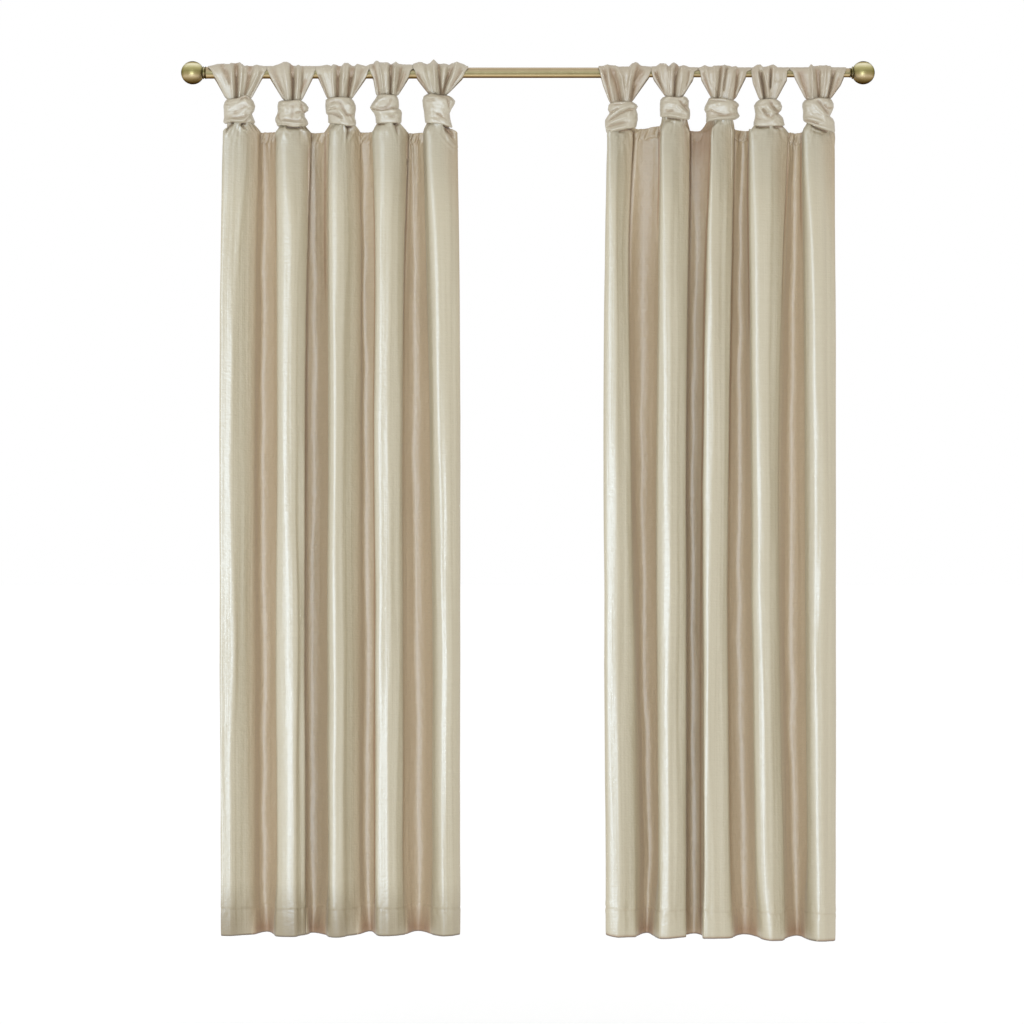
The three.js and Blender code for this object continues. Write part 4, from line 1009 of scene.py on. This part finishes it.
# ------------------------------------------------------------------ panel mesh
def panel_object(panel):
    tabs = [TABS["%s_%d" % (panel["name"], i + 1)] for i in range(5)]
    hem_lo, hem_hi = panel["hem"]
    seed = 301 if panel["name"] == "left" else 401

    # places along the cloth, evenly spaced by real length
    fine = np.linspace(0, 33, 33 * 60 + 1)
    mid = through(section(panel, [-900.0]), fine)[0]
    run = np.concatenate([[0], np.cumsum(np.hypot(*np.diff(mid, axis=0).T))])
    width = run[-1]
    half = 300
    k2 = np.interp(np.linspace(0, width, 2 * half + 1), run, fine)  # heading columns
    s2 = np.linspace(0, width, 2 * half + 1)

    head_pts = section(panel, [HEADING_Z])
    head = through(head_pts, k2)[0]

    # where each tab's foot meets the heading
    top_z = np.interp(k2, *zip(*panel["heading"]))
    edge_wave = 0.8 * wander(s2 / 16, seed) + 0.6 * wander(s2 / 6, seed + 1)
    top_z = top_z + edge_wave
    neck = np.zeros((len(k2), 2))
    knot_z = np.zeros(len(k2))
    share = np.full(len(k2), -1.0)
    for t in tabs:
        base = 7 * t["fold"]
        (ul, vl), (ur, vr) = t["foot"]
        xl, xr = PX(ul, -15), PX(ur, -15)
        lo = base - 1 if base else 0
        hi = base + 6 if base < 28 else 33
        crest = base + 2
        left = [k for k in np.linspace(lo, crest, 400) if np.interp(k, fine, through(head_pts, fine)[0][:, 0]) <= xl] if base else []
        right = [k for k in np.linspace(crest, hi, 400) if np.interp(k, fine, through(head_pts, fine)[0][:, 0]) >= xr] if base < 28 else []
        ka = left[-1] if left else lo
        kb = right[0] if right else hi
        inside = (k2 >= ka) & (k2 <= kb)
        sa, sb = np.interp([ka, kb], k2, s2)
        u = (s2[inside] - sa) / (sb - sa)
        share[inside] = u
        zb_l, zb_r = PZ(t["kL"][-1][1], -20), PZ(t["kR"][-1][1], -20)
        xl_k, xr_k = PX(t["kL"][-1][0] + 1.0, -15), PX(t["kR"][-1][0] - 1.0, -15)
        neck[inside, 0] = mix(xl_k, xr_k, u)
        neck[inside, 1] = -4 - 17 * np.sin(np.pi * u) ** 0.5
        knot_z[inside] = mix(zb_l, zb_r, u) + 7
        rise = smooth(np.minimum(u / 0.07, (1 - u) / 0.07))
        top_z[inside] = mix(top_z[inside], knot_z[inside], rise)

    def place(k, s, u, nk, kz, z, fine_rows):
        """Points of the cloth: k, s, u, nk, kz per column; z an array (rows, columns)."""
        rows, cols = z.shape
        flat_z = np.clip(z, None, HEADING_Z).ravel()
        pts = np.empty((rows, cols, 2))
        # each row has nearly one height below the heading, so its columns share a section
        for r in range(rows):
            zr = np.clip(z[r], None, HEADING_Z)
            if np.ptp(zr) < 1e-6:
                pts[r] = through(section(panel, zr[:1]), k)[0]
            else:
                grid_z = np.linspace(zr.min(), zr.max(), 7)
                layers = through(section(panel, grid_z), k)
                f = (zr - grid_z[0]) / (grid_z[-1] - grid_z[0]) * 6
                i = np.clip(np.floor(f).astype(int), 0, 5)
                w = (f - i)[:, None]
                c = np.arange(cols)
                pts[r] = mix(layers[i, c], layers[i + 1, c], w)
        up = np.clip((z - HEADING_Z) / np.maximum(kz - HEADING_Z, 1)[None, :], 0, 1.2)
        up = np.where(u[None, :] >= 0, up, 0)
        pts = mix(pts, nk[None], (0.45 * up + 0.55 * smooth(up))[..., None])
        x, y = pts[..., 0], pts[..., 1]

        # relief, along the cloth's own normal in plan
        tx, ty = np.gradient(x, axis=1), np.gradient(y, axis=1)
        ln = np.maximum(np.hypot(tx, ty), 1e-6)
        nx, ny = ty / ln, -tx / ln  # towards the room on the fold fronts
        S, Z = np.broadcast_arrays(s[None, :], z)
        painted_shade_and_patina = np.zeros(z.shape)
        off = 0.65 * wander2(S / 13, Z / 640, seed + 2) + 0.4 * wander2(S / 6.5, Z / 420, seed + 3)
        off = off + 1.1 * wander2(S / 34, Z / 210, seed + 4) + 0.35 * wander2(S / 26, Z / 60, seed + 5)
        # gathers between the tabs, down to the heading's stitch line
        below = top_z_of(k) - z
        depth_in = np.clip(below / (26.0 + 7.0 * wander(S / 5.5, seed + 16)), 0, None)
        window = np.where(depth_in < 1, np.sin(np.pi * np.clip(depth_in, 0, 1)) ** 0.7, 0)
        valley = np.zeros(len(k))
        for i in range(4):
            valley = np.maximum(valley, np.exp(-(((k - (7 * i + 6)) / 1.15) ** 4)))
        shear = S + below * (0.75 + 0.35 * np.sin(S / 41))
        pleat = wander(shear / 7.5, seed + 6) + 0.6 * wander(shear / 4.2 + 9, seed + 7)
        off = off + 3.2 * pleat * window * valley[None, :]
        stitch = np.exp(-(((below - 25 - 2.5 * wander(S / 9, seed + 17)) / 2.0) ** 2)) * np.clip(0.4 + 0.8 * wander(S / 5, seed + 8), 0, 1)
        off = off - 2.0 * stitch * valley[None, :]
        # painted shade along the stitch line and in the gathers' troughs
        painted_shade_and_patina = np.maximum(painted_shade_and_patina, 0.35 * stitch * valley[None, :])
        painted_shade_and_patina = np.maximum(painted_shade_and_patina, 0.5 * np.clip(-pleat - 0.15, 0, 1) * window * valley[None, :])
        # painted shade in the valleys near the heading
        amount = np.zeros(len(k))
        for i, more in enumerate(panel["browner"]):
            amount = np.maximum(amount, more * np.exp(-(((k - (7 * i + 6)) / 1.5) ** 4)))
        painted_shade_and_patina = np.maximum(painted_shade_and_patina, amount[None, :] * np.interp(z, [-385, -225, -180], [0, 0.55, 1]) * (1 - 0.55 * np.clip(0.9 * pleat + 0.25, 0, 1) * window))
        tail = np.exp(-np.clip(below - 25, 0, None) / 26) * (below > 25)
        off = off + 1.8 * wander(S / 8.5, seed + 9) * tail * valley[None, :]
        # the long creases of the fold fronts
        ux, vz = UX(x, y), UZ(z, y)
        for fold, height, wide, line in panel["creases"]:
            vs = [q[1] for q in line]
            at = curve_at(vs, [q[0] for q in line], vz) + 0.35 * wander(vz / 23, seed + 50 + fold)
            ends = smooth((vz - vs[0] + 25) / 50) * (smooth((vs[-1] + 25 - vz) / 50) if vs[-1] < 930 else 1)
            front = ((k > 7 * fold + 0.6) & (k < 7 * fold + 5.2))[None, :]
            off = off + 1.9 * height * np.exp(-np.abs(ux + 0.8 - at) / wide) * ends * front
        # gaps: dented in, and darkened with painted shade
        for (klo, khi), d, w, line in panel["gaps"]:
            vs = [q[1] for q in line]
            at = curve_at(vs, [q[0] for q in line], vz)
            ends = smooth((vz - vs[0] + 20) / 30) * (smooth((vs[-1] + 20 - vz) / 50) if vs[-1] < 900 else 1)
            here = ((k > klo) & (k < khi))[None, :]
            gap = np.exp(-np.abs((ux - at) / w) ** 3) * ends * here
            off = off - d * gap
            painted_shade_and_patina = np.maximum(painted_shade_and_patina, gap)
        # foot folds and pockets under the knots, on the fold fronts only; painted shade in the pockets
        if fine_rows:
            for t in tabs:
                base = 7 * t["fold"]
                front = (k > base + 0.3) & (k < base + 5.3)
                for d, w, line in t["pockets"]:
                    dist, run_, _ = along_line(ux, vz, line)
                    dip = np.exp(-((dist / (w * mix(1.15, 0.45, run_))) ** 2.2)) * front[None, :] * mix(1, 0.35, run_ ** 2)
                    off = off - 1.3 * d * dip
                    painted_shade_and_patina = np.maximum(painted_shade_and_patina, dip * min(1, d / 6))
                for d, w, line in t["folds"]:
                    dist, place_, _ = along_line(ux, vz, line)
                    fade = smooth(place_ / 0.2) * smooth((1 - place_) / 0.35)
                    off = off + d * np.exp(-((dist / w) ** 2)) * front[None, :] * mix(0.4, 1, fade)
                # soft wrinkles fanning out of the knot
                near = np.clip((z - (kz - 90)[None, :]) / 90, 0, 1) ** 1.4
                c0 = PX((t["foot"][0][0] + t["foot"][1][0]) / 2)
                ang = (x - c0) / np.maximum((kz[None, :] + 60) - z, 20)
                inside = (u >= 0) & front
                ray = wander(ang * 8 + 3 * t["fold"], seed + 30 + t["fold"]) + 0.6 * wander(ang * 19 + 0.03 * vz, seed + 35 + t["fold"])
                off = off + 1.4 * ray * near * inside[None, :]
                # the cloth drawn up under the knot: short, slanting creases, with painted shade in their depths
                slant = wander2((ux - 0.55 * (vz - 130)) / 4.4, vz / 17, seed + 90 + t["fold"])
                slant = slant + 0.6 * wander2((ux + 0.7 * (vz - 130)) / 3.1, vz / 13, seed + 96 + t["fold"])
                close = np.clip((z - (kz - 62)[None, :]) / 55, 0, 1)
                off = off + 1.1 * slant * close * inside[None, :]
                painted_shade_and_patina = np.maximum(painted_shade_and_patina, 0.25 * np.clip(-(0.7 * ray + slant) - 0.25, 0, 1) * close * inside[None, :])
                # the shadowed gap between the knot's lower edge and the cloth: dented in, with its shadow painted as
                # well
                edge = vz - at_x(t["kb"], ux)
                for x0, x1, much in t["under"]:
                    span = smooth((ux - x0 + 0.7) / 1.4) * smooth((x1 + 0.7 - ux) / 1.4)
                    slot = np.exp(-(((edge - 0.5) / 1.3) ** 2)) * span * inside[None, :]
                    off = off - 7 * much * slot
                    painted_shade_and_patina = np.maximum(painted_shade_and_patina, (0.6 + 1.1 * much) * slot)
        # hem: a turn-up about 72 mm deep with its stitch line
        hz = hem_of(k)
        up_hem = z - hz[None, :]
        sewn = np.exp(-(((up_hem - 67) / 2.6) ** 2)) * np.clip(0.75 + 0.45 * wander(S / 9, seed + 12), 0, 1.2)
        off = off - 1.1 * sewn
        off = off + 1.0 * np.exp(-(((up_hem - 59) / 7) ** 2)) * wander(S / 8, seed + 13)
        off = off + 0.8 * np.exp(-(((up_hem - 76) / 9) ** 2)) * wander(S / 10, seed + 14)
        off = off - 0.8 * np.exp(-up_hem / 5)
        far, high = panel["tuck"]
        lean_in = far * np.clip(1 - up_hem / high, 0, 1) ** 2 * smooth((6 - y) / 30)
        # painted shade in the valleys, darker towards the hem
        shade = np.clip(1.6 * np.exp(-up_hem / 30), 0, 1) * smooth((y + 8) / 24)
        if panel is RIGHT:
            shade = shade * (1 - 0.65 * np.exp(-(((k - 13) / 2.2) ** 4)))[None, :]
        painted_shade_and_patina = np.maximum(painted_shade_and_patina, shade)
        # painted shade towards the hem and on the flanks in shade; the hem's stitch line and a line at its lower edge
        # are painted dark too
        much = np.interp(k, *zip(*panel["dim"]))[None, :] * smooth((165 - up_hem) / 150)
        for k0, k1, high_up, low_down in panel["shaded"]:
            here = smooth((k - k0 + 0.35) / 0.7) * smooth((k1 + 0.35 - k) / 0.7)
            much = np.maximum(much, here[None, :] * np.interp(z, [-1150, -760, -420, -270], [low_down, low_down, 0.6 * high_up + 0.4 * low_down, high_up]))
        painted_shade_and_patina = painted_shade_and_patina - much * (1 - np.clip(4 * painted_shade_and_patina, 0, 1))
        painted_shade_and_patina = mix(np.maximum(painted_shade_and_patina, 0.20 * sewn), painted_shade_and_patina - 0.25 * sewn, np.clip(4 * much, 0, 1))
        line = 1.7 * np.exp(-((up_hem / 4.6) ** 2))
        painted_shade_and_patina = np.where(painted_shade_and_patina < 0, np.minimum(painted_shade_and_patina, -line), np.maximum(painted_shade_and_patina, line))
        x = x + nx * off
        y = y + ny * off + lean_in
        return np.stack([x, y, z, np.clip(painted_shade_and_patina, -1.7, 1.7)], -1)

    def top_z_of(k):
        return np.interp(k, k2, top_z)[None, :]

    def hem_of(k):
        s = np.interp(k, k2, s2)
        h = mix(hem_lo, hem_hi, s / width) + 0.8 * wander(s / 70, seed + 15)
        h = h + np.interp(k, *zip(*panel["hem_wave"]))
        corner = np.clip(1 - np.minimum(s, width - s) / 14, 0, 1)
        return h + 9 * corner ** 2

    # heading block: 600 columns; body: 300 columns, rows closer at the hem
    join_z = -208.0
    rows_a = 41
    f = np.linspace(0, 1, rows_a) ** 1.25
    za = mix(top_z[None, :], join_z, f[:, None])
    A = place(k2, s2, share, neck, knot_z, za, True)
    k1, s1 = k2[::2], s2[::2]
    hz = hem_of(k1)
    down = np.concatenate([np.linspace(0, 0.08, 9)[1:], np.linspace(0.08, 0.952, 42)[1:]])
    zb = [mix(join_z, hz, d) for d in down]
    zb += [mix(mix(join_z, hz, 0.952), hz, d) for d in np.linspace(0, 1, 33)[1:]]
    zb = np.array(zb)
    B = place(k1, s1, share[::2], neck[::2], knot_z[::2], zb, False)

    ca, cb = len(k2), len(k1)
    verts = np.concatenate([A.reshape(-1, 4), B.reshape(-1, 4)])
    painted_shade_and_patina, verts = np.tile(verts[:, 3], 2), verts[:, :3]
    uvs = np.concatenate(
        [
            np.stack(np.broadcast_arrays(s2[None, :], za), -1).reshape(-1, 2),
            np.stack(np.broadcast_arrays(s1[None, :], zb), -1).reshape(-1, 2),
        ]
    )
    faces = grid_faces(rows_a, ca)
    start = rows_a * ca
    last = (rows_a - 1) * ca
    for c in range(cb - 1):
        faces.append([last + 2 * c, start + c, start + c + 1, last + 2 * c + 2, last + 2 * c + 1])
    faces += grid_faces(len(zb), cb, start)
    verts, faces, uvs = both_sides(verts, faces, uvs, PANEL_THICK)
    obj = object_of("panel_%s_cloth" % panel["name"], verts, faces, uvs, CLOTH, painted_shade_and_patina)
    print("panel", panel["name"], "width along the cloth %.0f mm" % width, "faces", len(faces))
    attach(obj, "root")
    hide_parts("panel_" + panel["name"])
    return obj, width


# ------------------------------------------------------------------ tab meshes
TAB_THICK = 1.1
FAN_COLS = 96


def tab_object(key, t):
    rng = 700 + 13 * t["fold"] + (500 if t["panel"] is RIGHT else 0)
    ring = t["rod"] + 1.2 + TAB_THICK / 2
    foot_v = max(t["L"][-1][1], t["R"][-1][1])
    zk = float(PZ(foot_v, -12))  # where the knot grips the fan
    u = np.linspace(0, 1, FAN_COLS)

    # rows: (stage, place) front, over the rod, back
    front = [("f", q) for q in np.linspace(-0.16, 1, 44)]
    over = [("o", q) for q in np.linspace(0, 1, 24)[1:]]
    back = [("b", q) for q in np.linspace(1, -0.16, 24)[1:]]
    xl_top, xr_top = t["L"][0][0], t["R"][0][0]
    crest = PZ(at_x(t["top"], mix(xl_top, xr_top, u)), 0)  # outline over the rod
    lift = np.clip(crest - TAB_THICK / 2, ring, None) - ring
    grid = []
    uv = []
    dark = []
    length = 0.0
    z_join = -5.0
    for stage, q in front + over + back:
        if stage in "fb":
            z = mix(zk, z_join, q)
            v = float(UZ(z, -15))
            y_far = ring + 0.55 * lift + 4.5
            y_foot = 10.0 if stage == "f" else 7.0
            yy = mix(y_foot, y_far, np.clip(q, 0, 1) ** 0.85)
            if q < 0:
                yy = yy + q * 6
            sign = -1 if stage == "f" else 1
            depth = sign * yy
            direction = np.array([0.0, float(sign), 0.0])
            zz = np.full(FAN_COLS, z)
            over_t = 0.0
        else:
            a = math.pi + math.radians(9) - q * (math.pi + math.radians(18))
            w = math.sin(max(0.0, min(1.0, q)) * math.pi)
            rr = ring + mix(4.5, 0.0, w) + lift * mix(0.55, 1.0, w)
            depth = rr * math.cos(a)
            zz = rr * math.sin(a) + z_join * (1 - w) * 0.4
            direction = np.array([0.0, math.cos(a), math.sin(a)])
            over_t = w
            v = mix(float(UZ(z_join, -15)), 65.0, smooth(w)) if q <= 0.5 else mix(float(UZ(z_join, -15)), 65.0, smooth(w))
        ul, ur = at_height(t["L"], v), at_height(t["R"], v)
        if stage in "fb" and q < 0.12:  # gripped by the knot
            c = (ul + ur) / 2
            g = 1 - 0.28 * smooth((0.12 - q) / 0.28)
            ul, ur = c + (ul - c) * g, c + (ur - c) * g
        px = mix(ul, ur, u)
        D = relief(px, np.full(FAN_COLS, v), t["pleats"])
        tight = 0.75 + 0.25 * np.clip(q if stage in "fb" else 1, 0, 1)
        back_side = stage == "b" or (stage == "o" and q > 0.5)
        fade = (1 - 0.93 * over_t ** 5) * (0.8 if back_side else 1.0) * tight
        D = np.where(D > 0, 1.45, 1.6) * D * fade
        # painted shade in the pleats' valleys, on a baseline that is heavier on the right panel's tabs
        shade = (0.06 if t["panel"] is LEFT else 0.30) + 1.0 * np.clip(-D / (7.0 * max(fade, 0.3)) if np.isscalar(fade) else -D / 7.0, 0, 1) * (1 - 0.12 * over_t ** 4)
        # painted shade along the listed strips of the fan
        for amount, wide, line in t.get("strips", []) if not back_side else []:
            dist, _, _ = along_line(px, np.full(FAN_COLS, v), line)
            shade = np.maximum(shade, min(1.0, 1.35 * amount) * np.exp(-((dist / wide) ** 2)))
        dark.append(np.clip(shade, 0, 1))
        # the side edges curl away from the room, and small wrinkles
        D = D - 2.5 * (np.exp(-u / 0.03) + np.exp(-(1 - u) / 0.03)) * (1 - over_t)
        D = D + 0.5 * wander2(u * 26, np.full(FAN_COLS, v / 9), rng)
        x = PX(px, depth)
        pts = np.stack([x, depth + direction[1] * D, zz + direction[2] * D], -1)
        # never closer to the rod than its cloth allows
        r = np.hypot(pts[:, 1], pts[:, 2])
        near = (r < ring) & (pts[:, 2] > -ring)
        k = np.where(near, ring / np.maximum(r, 1e-6), 1)
        pts[:, 1] *= k
        pts[:, 2] *= k
        if grid:
            length += float(np.linalg.norm(pts[FAN_COLS // 2] - grid[-1][FAN_COLS // 2]))
        grid.append(pts)
        uv.append(np.stack([u * 170, np.full(FAN_COLS, length)], -1))
    rows = len(grid)
    verts = np.concatenate(grid)
    uvs = np.concatenate(uv)
    faces = grid_faces(rows, FAN_COLS)
    verts, faces, uvs = both_sides(verts, faces, uvs, TAB_THICK)
    dark = np.tile(np.concatenate(dark), 2)

    # the knot: a lofted band with its wraps and creases; both ends are tucked in
    around, tall = 128, 54
    ends = [(0.10, 0.66), (0.0, 0.78), (-0.0, 0.9)]
    stations = [(0.12, 0.62), (0.03, 0.80), (0.0, 0.92)]
    inner = [(float(v_), 1.0) for v_ in np.linspace(0.035, 0.965, tall)]
    stations = stations + inner + [(1.0, 0.94), (0.985, 0.82), (0.90, 0.66)]
    kv, ku, knot_painted_shade = [], [], []
    top_y = lambda uu: at_x(t["kt"], uu)
    bot_y = lambda uu: at_x(t["kb"], uu)
    uc = (t["kL"][0][0] + t["kR"][0][0]) / 2
    theta = np.arange(around) / around * 2 * math.pi  # 0 right, pi/2 back, pi left, 3pi/2 front
    ct, st = np.cos(theta), np.sin(theta)
    ce = np.sign(ct) * np.abs(ct) ** 0.75
    se = np.sign(st) * np.abs(st) ** 0.75
    for vv, scale in stations:
        vL = mix(t["kL"][0][1], t["kL"][-1][1], vv)
        vR = mix(t["kR"][0][1], t["kR"][-1][1], vv)
        ul = float(np.interp(vL, [p[1] for p in t["kL"]], [p[0] for p in t["kL"]]))
        ur = float(np.interp(vR, [p[1] for p in t["kR"]], [p[0] for p in t["kR"]]))
        c, h = (ul + ur) / 2, (ur - ul) / 2
        pu = c + h * scale * ce
        bulge = 1 - 0.08 * (1 - vv) ** 4 + 0.09 * math.exp(-(((vv - 0.9) / 0.10) ** 2))
        depth = 25.0 * scale * bulge * (h * 2 * UNIT / 74) ** 0.5
        py = -3.0 + depth * se
        # the band's height follows its own top and bottom edges on the front, and level ones behind
        vt = np.where(st < 0, top_y(pu), (t["kt"][0][1] + t["kt"][-1][1]) / 2)
        vb = np.where(st < 0, bot_y(pu), (t["kb"][0][1] + t["kb"][-1][1]) / 2)
        blend_f = np.clip(-st * 3, 0, 1)
        vt = mix((at_x(t["kt"], ul) * (1 - ce) + at_x(t["kt"], ur) * (1 + ce)) / 2, vt, blend_f)
        vb = mix((at_x(t["kb"], ul) * (1 - ce) + at_x(t["kb"], ur) * (1 + ce)) / 2, vb, blend_f)
        pv = mix(vt, vb, vv)
        # relief on the front, and the same wraps turned round on the back
        H = relief(pu, pv, t["marks"])
        mirror = relief(2 * c - pu, pv, t["marks"])
        Hf = 1.75 * H * np.clip(-st * 2.2, 0, 1) + 1.3 * mirror * np.clip(st * 2.2, 0, 1)
        # small creases that run along the wraps
        lean_ = vv * 9 + 1.6 * np.cos(theta + t["fold"])
        small = wander2(3.2 * ct + 1.4 * st + 5, lean_, rng + 4) + 0.5 * wander2(6.4 * ct + 2.0 * st, 1.9 * lean_, rng + 5)
        Hf = Hf + 0.9 * small
        # painted shade in the knot's troughs, on a small baseline heavier on the right
        knot_painted_shade.append(0.72 * np.clip(-Hf / 3.4, 0, 1) + (0.02 if t["panel"] is LEFT else 0.06))
        Hf = Hf + 0.9 * wander2(3.6 * ct + 1.4 * st + 7, np.full(around, vv * 3.5), rng + 3)
        Hf = Hf * (1 if scale > 0.95 else 0.4)
        # only in depth near the outline, so that the outline keeps its shape
        py = py + se * Hf
        pu = pu + ce * Hf * 0.12
        kv.append(np.stack([PX(pu, py), py, PZ(pv, py)], -1))
        ku.append(np.stack([theta / (2 * math.pi) * 210, np.full(around, vv * 62.0)], -1))
    kverts = np.concatenate(kv)
    kuvs = np.concatenate(ku)
    n_rings = len(stations)
    base = len(verts)
    kfaces = []
    for r in range(n_rings - 1):
        for c in range(around):
            c1 = (c + 1) % around
            kfaces.append([base + r * around + c, base + (r + 1) * around + c, base + (r + 1) * around + c1, base + r * around + c1])
    top_c, bot_c = base + len(kverts), base + len(kverts) + 1
    centre_t = kv[0].mean(axis=0)
    centre_b = kv[-1].mean(axis=0)
    for c in range(around):
        c1 = (c + 1) % around
        kfaces.append([top_c, base + c, base + c1])
        kfaces.append([bot_c, base + (n_rings - 1) * around + c1, base + (n_rings - 1) * around + c])
    verts = np.concatenate([verts, kverts, centre_t[None], centre_b[None]])
    uvs = np.concatenate([uvs, kuvs, [[100.0, 0.0], [100.0, 62.0]]])
    dark = np.concatenate([dark, np.concatenate(knot_painted_shade), [0.0, 0.0]])
    obj = object_of("tab_%s_cloth" % key, verts, faces + kfaces, uvs, KNOT_CLOTH, dark)
    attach(obj, "root")
    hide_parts("tab_" + key)
    return obj


# ------------------------------------------------------------------ rod and finials
def turned(name, profile, material, loop, facets=96):
    """A body turned about the rod's axis. profile: (x, radius) in mm, running to +X along its
    outside, with a third number from 0 to 1 where old polish darkens a groove."""
    groove = np.array([q[2] if len(q) > 2 else 0.0 for q in profile])
    prof = np.asarray([q[:2] for q in profile], float)
    n = len(prof)
    a = np.arange(facets) / facets * 2 * math.pi
    verts = np.stack(
        [
            np.repeat(prof[:, 0], facets),
            (prof[:, 1][:, None] * np.sin(a)[None]).ravel(),
            (-prof[:, 1][:, None] * np.cos(a)[None]).ravel(),
        ],
        -1,
    )
    faces = []
    for i in range(n if loop else n - 1):
        j = (i + 1) % n
        for c in range(facets):
            d = (c + 1) % facets
            q = [i * facets + c, i * facets + d, j * facets + d, j * facets + c]
            if prof[i, 1] == 0:
                q = [i * facets, j * facets + d, j * facets + c]
            elif prof[j, 1] == 0:
                q = [i * facets + c, i * facets + d, j * facets]
            faces.append(q)
    uvs = np.stack([np.repeat(prof[:, 0], facets), np.tile(a * 12, n)], -1)
    used = sorted({v for f in faces for v in f})
    remap = {v: i for i, v in enumerate(used)}
    faces = [[remap[v] for v in f] for f in faces]
    obj = object_of(name, verts[used], faces, uvs[used], material, np.repeat(groove, facets)[used])
    mesh = obj.data
    mesh.set_sharp_from_angle(angle=math.radians(38))
    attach(obj, "root")
    return obj


WALL = 1.1


def tube(name, x0, x1, d, node_name):
    r, c = d / 2, 0.35
    prof = []
    steps = np.linspace(x0 + c, x1 - c, 40)
    prof.append((x0, r - c))
    prof += [(x, r) for x in steps]
    prof += [(x1, r - c), (x1, r - WALL), (x0, r - WALL)]
    o = turned(name, prof, ROD_BRASS, True)
    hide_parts(node_name)
    return o


tubes = [
    tube("rod_left_tube", -786, -214, 28.6, "rod_tube_left"),
    tube("rod_middle_tube", -284, 232, 25.4, "rod_tube_middle"),
    tube("rod_right_tube", 162, 786, 22.2, "rod_tube_right"),
]


def collar_profile(tube_d):
    x, bore = 786.3, tube_d / 2 - WALL - 0.3
    ring = tube_d / 2 + 0.8
    return [
        (x - 18, 0), (x - 18, bore - 0.6), (x - 17.4, bore), (x, bore),
        (x, ring - 0.9, 1), (x + 0.3, ring - 0.3, 1), (x + 0.8, ring, 0.8), (x + 1.9, ring, 0.7), (x + 2.4, ring - 0.4, 0.9), (x + 2.7, ring - 1.2, 1),
        (x + 2.8, ring - 1.9, 1), (x + 3.2, ring - 2.2, 0.5), (x + 3.7, ring - 1.8, 0), (x + 4.2, mix(ring, 14.0, 0.3) - 1.0, 0), (x + 5.2, mix(ring, 14.0, 0.75) - 0.6, 0.1),
        (x + 5.6, 14.4, 0.3), (x + 6.0, 15.1, 0), (x + 6.5, 15.45, 0), (x + 7.0, 15.45, 0.5), (x + 7.4, 15.1, 1), (x + 7.6, 14.3, 1), (x + 7.6, 0, 1),
    ]


def ball_profile():
    R, cx = 28.2, 819.4
    flat = 786.3 + 4.4 + 3.2 + 0.3
    start = math.acos((cx - flat) / R)
    out = [(flat, 0, 1)]
    for k in range(61):
        a = mix(start, math.pi, k / 60)
        out.append((cx - R * math.cos(a), 0 if k == 60 else R * math.sin(a), max(0.0, 1 - k / 3.0)))
    return out


def mirrored(profile):
    return [(-q[0], *q[1:]) for q in reversed(profile)]


for side, d in (("left", 28.6), ("right", 22.2)):
    cp, bp = collar_profile(d), ball_profile()
    if side == "left":
        cp, bp = mirrored(cp), mirrored(bp)
    c = turned("collar_" + side, cp, FINIAL_BRASS, False)
    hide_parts("finial_collar_" + side)
    b = turned("ball_" + side, bp, FINIAL_BRASS, False)
    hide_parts("finial_ball_" + side)

# ------------------------------------------------------------------ cloth
for key, t in TABS.items():
    o = tab_object(key, t)
for panel in (LEFT, RIGHT):
    o, width = panel_object(panel)

# ------------------------------------------------------------------ stage
floor_mat, nt, bsdf = new_material("floor_paint")
bsdf.inputs["Base Color"].default_value = (0.94, 0.94, 0.935, 1)
bsdf.inputs["Roughness"].default_value = 0.9
bsdf.inputs["Specular IOR Level"].default_value = 0.1
bsdf.inputs["Emission Color"].default_value = (1.0, 1.0, 1.0, 1)
bsdf.inputs["Emission Strength"].default_value = 0.08
me = bpy.data.meshes.new("floor")
me.from_pydata([(-300, -300, -2.5), (300, -300, -2.5), (300, 300, -2.5), (-300, 300, -2.5)], [], [[0, 1, 2, 3]])
me.materials.append(floor_mat)
floor = bpy.data.objects.new("floor", me)
bpy.context.scene.collection.objects.link(floor)

scene = bpy.context.scene
scene.view_settings.view_transform = "Standard"
scene.view_settings.look = "None"
world = bpy.data.worlds.new("studio")
scene.world = world
world.use_nodes = True
bg = world.node_tree.nodes["Background"]
bg.inputs["Color"].default_value = (1.0, 1.0, 1.0, 1)
bg.inputs["Strength"].default_value = 1.0


def area(name, place, look_at, size, power, colour=(1, 1, 1)):
    data = bpy.data.lights.new(name, "AREA")
    data.shape = "RECTANGLE"
    data.size, data.size_y = size
    data.energy = power
    data.color = colour
    o = bpy.data.objects.new(name, data)
    o.location = place
    d = np.array(look_at, float) - np.array(place, float)
    from mathutils import Vector
    o.rotation_euler = Vector(d).to_track_quat("-Z", "Y").to_euler()
    scene.collection.objects.link(o)
    return o


area("side", (-6.7, -1.3, -0.6), (0, 0, -1.0), (3.2, 3.4), 26, (0.64, 0.76, 1.0))
area("front", (-1.2, -7.8, -1.6), (0, 0, -1.3), (0.6, 1.7), 330, (0.66, 0.82, 1.0))
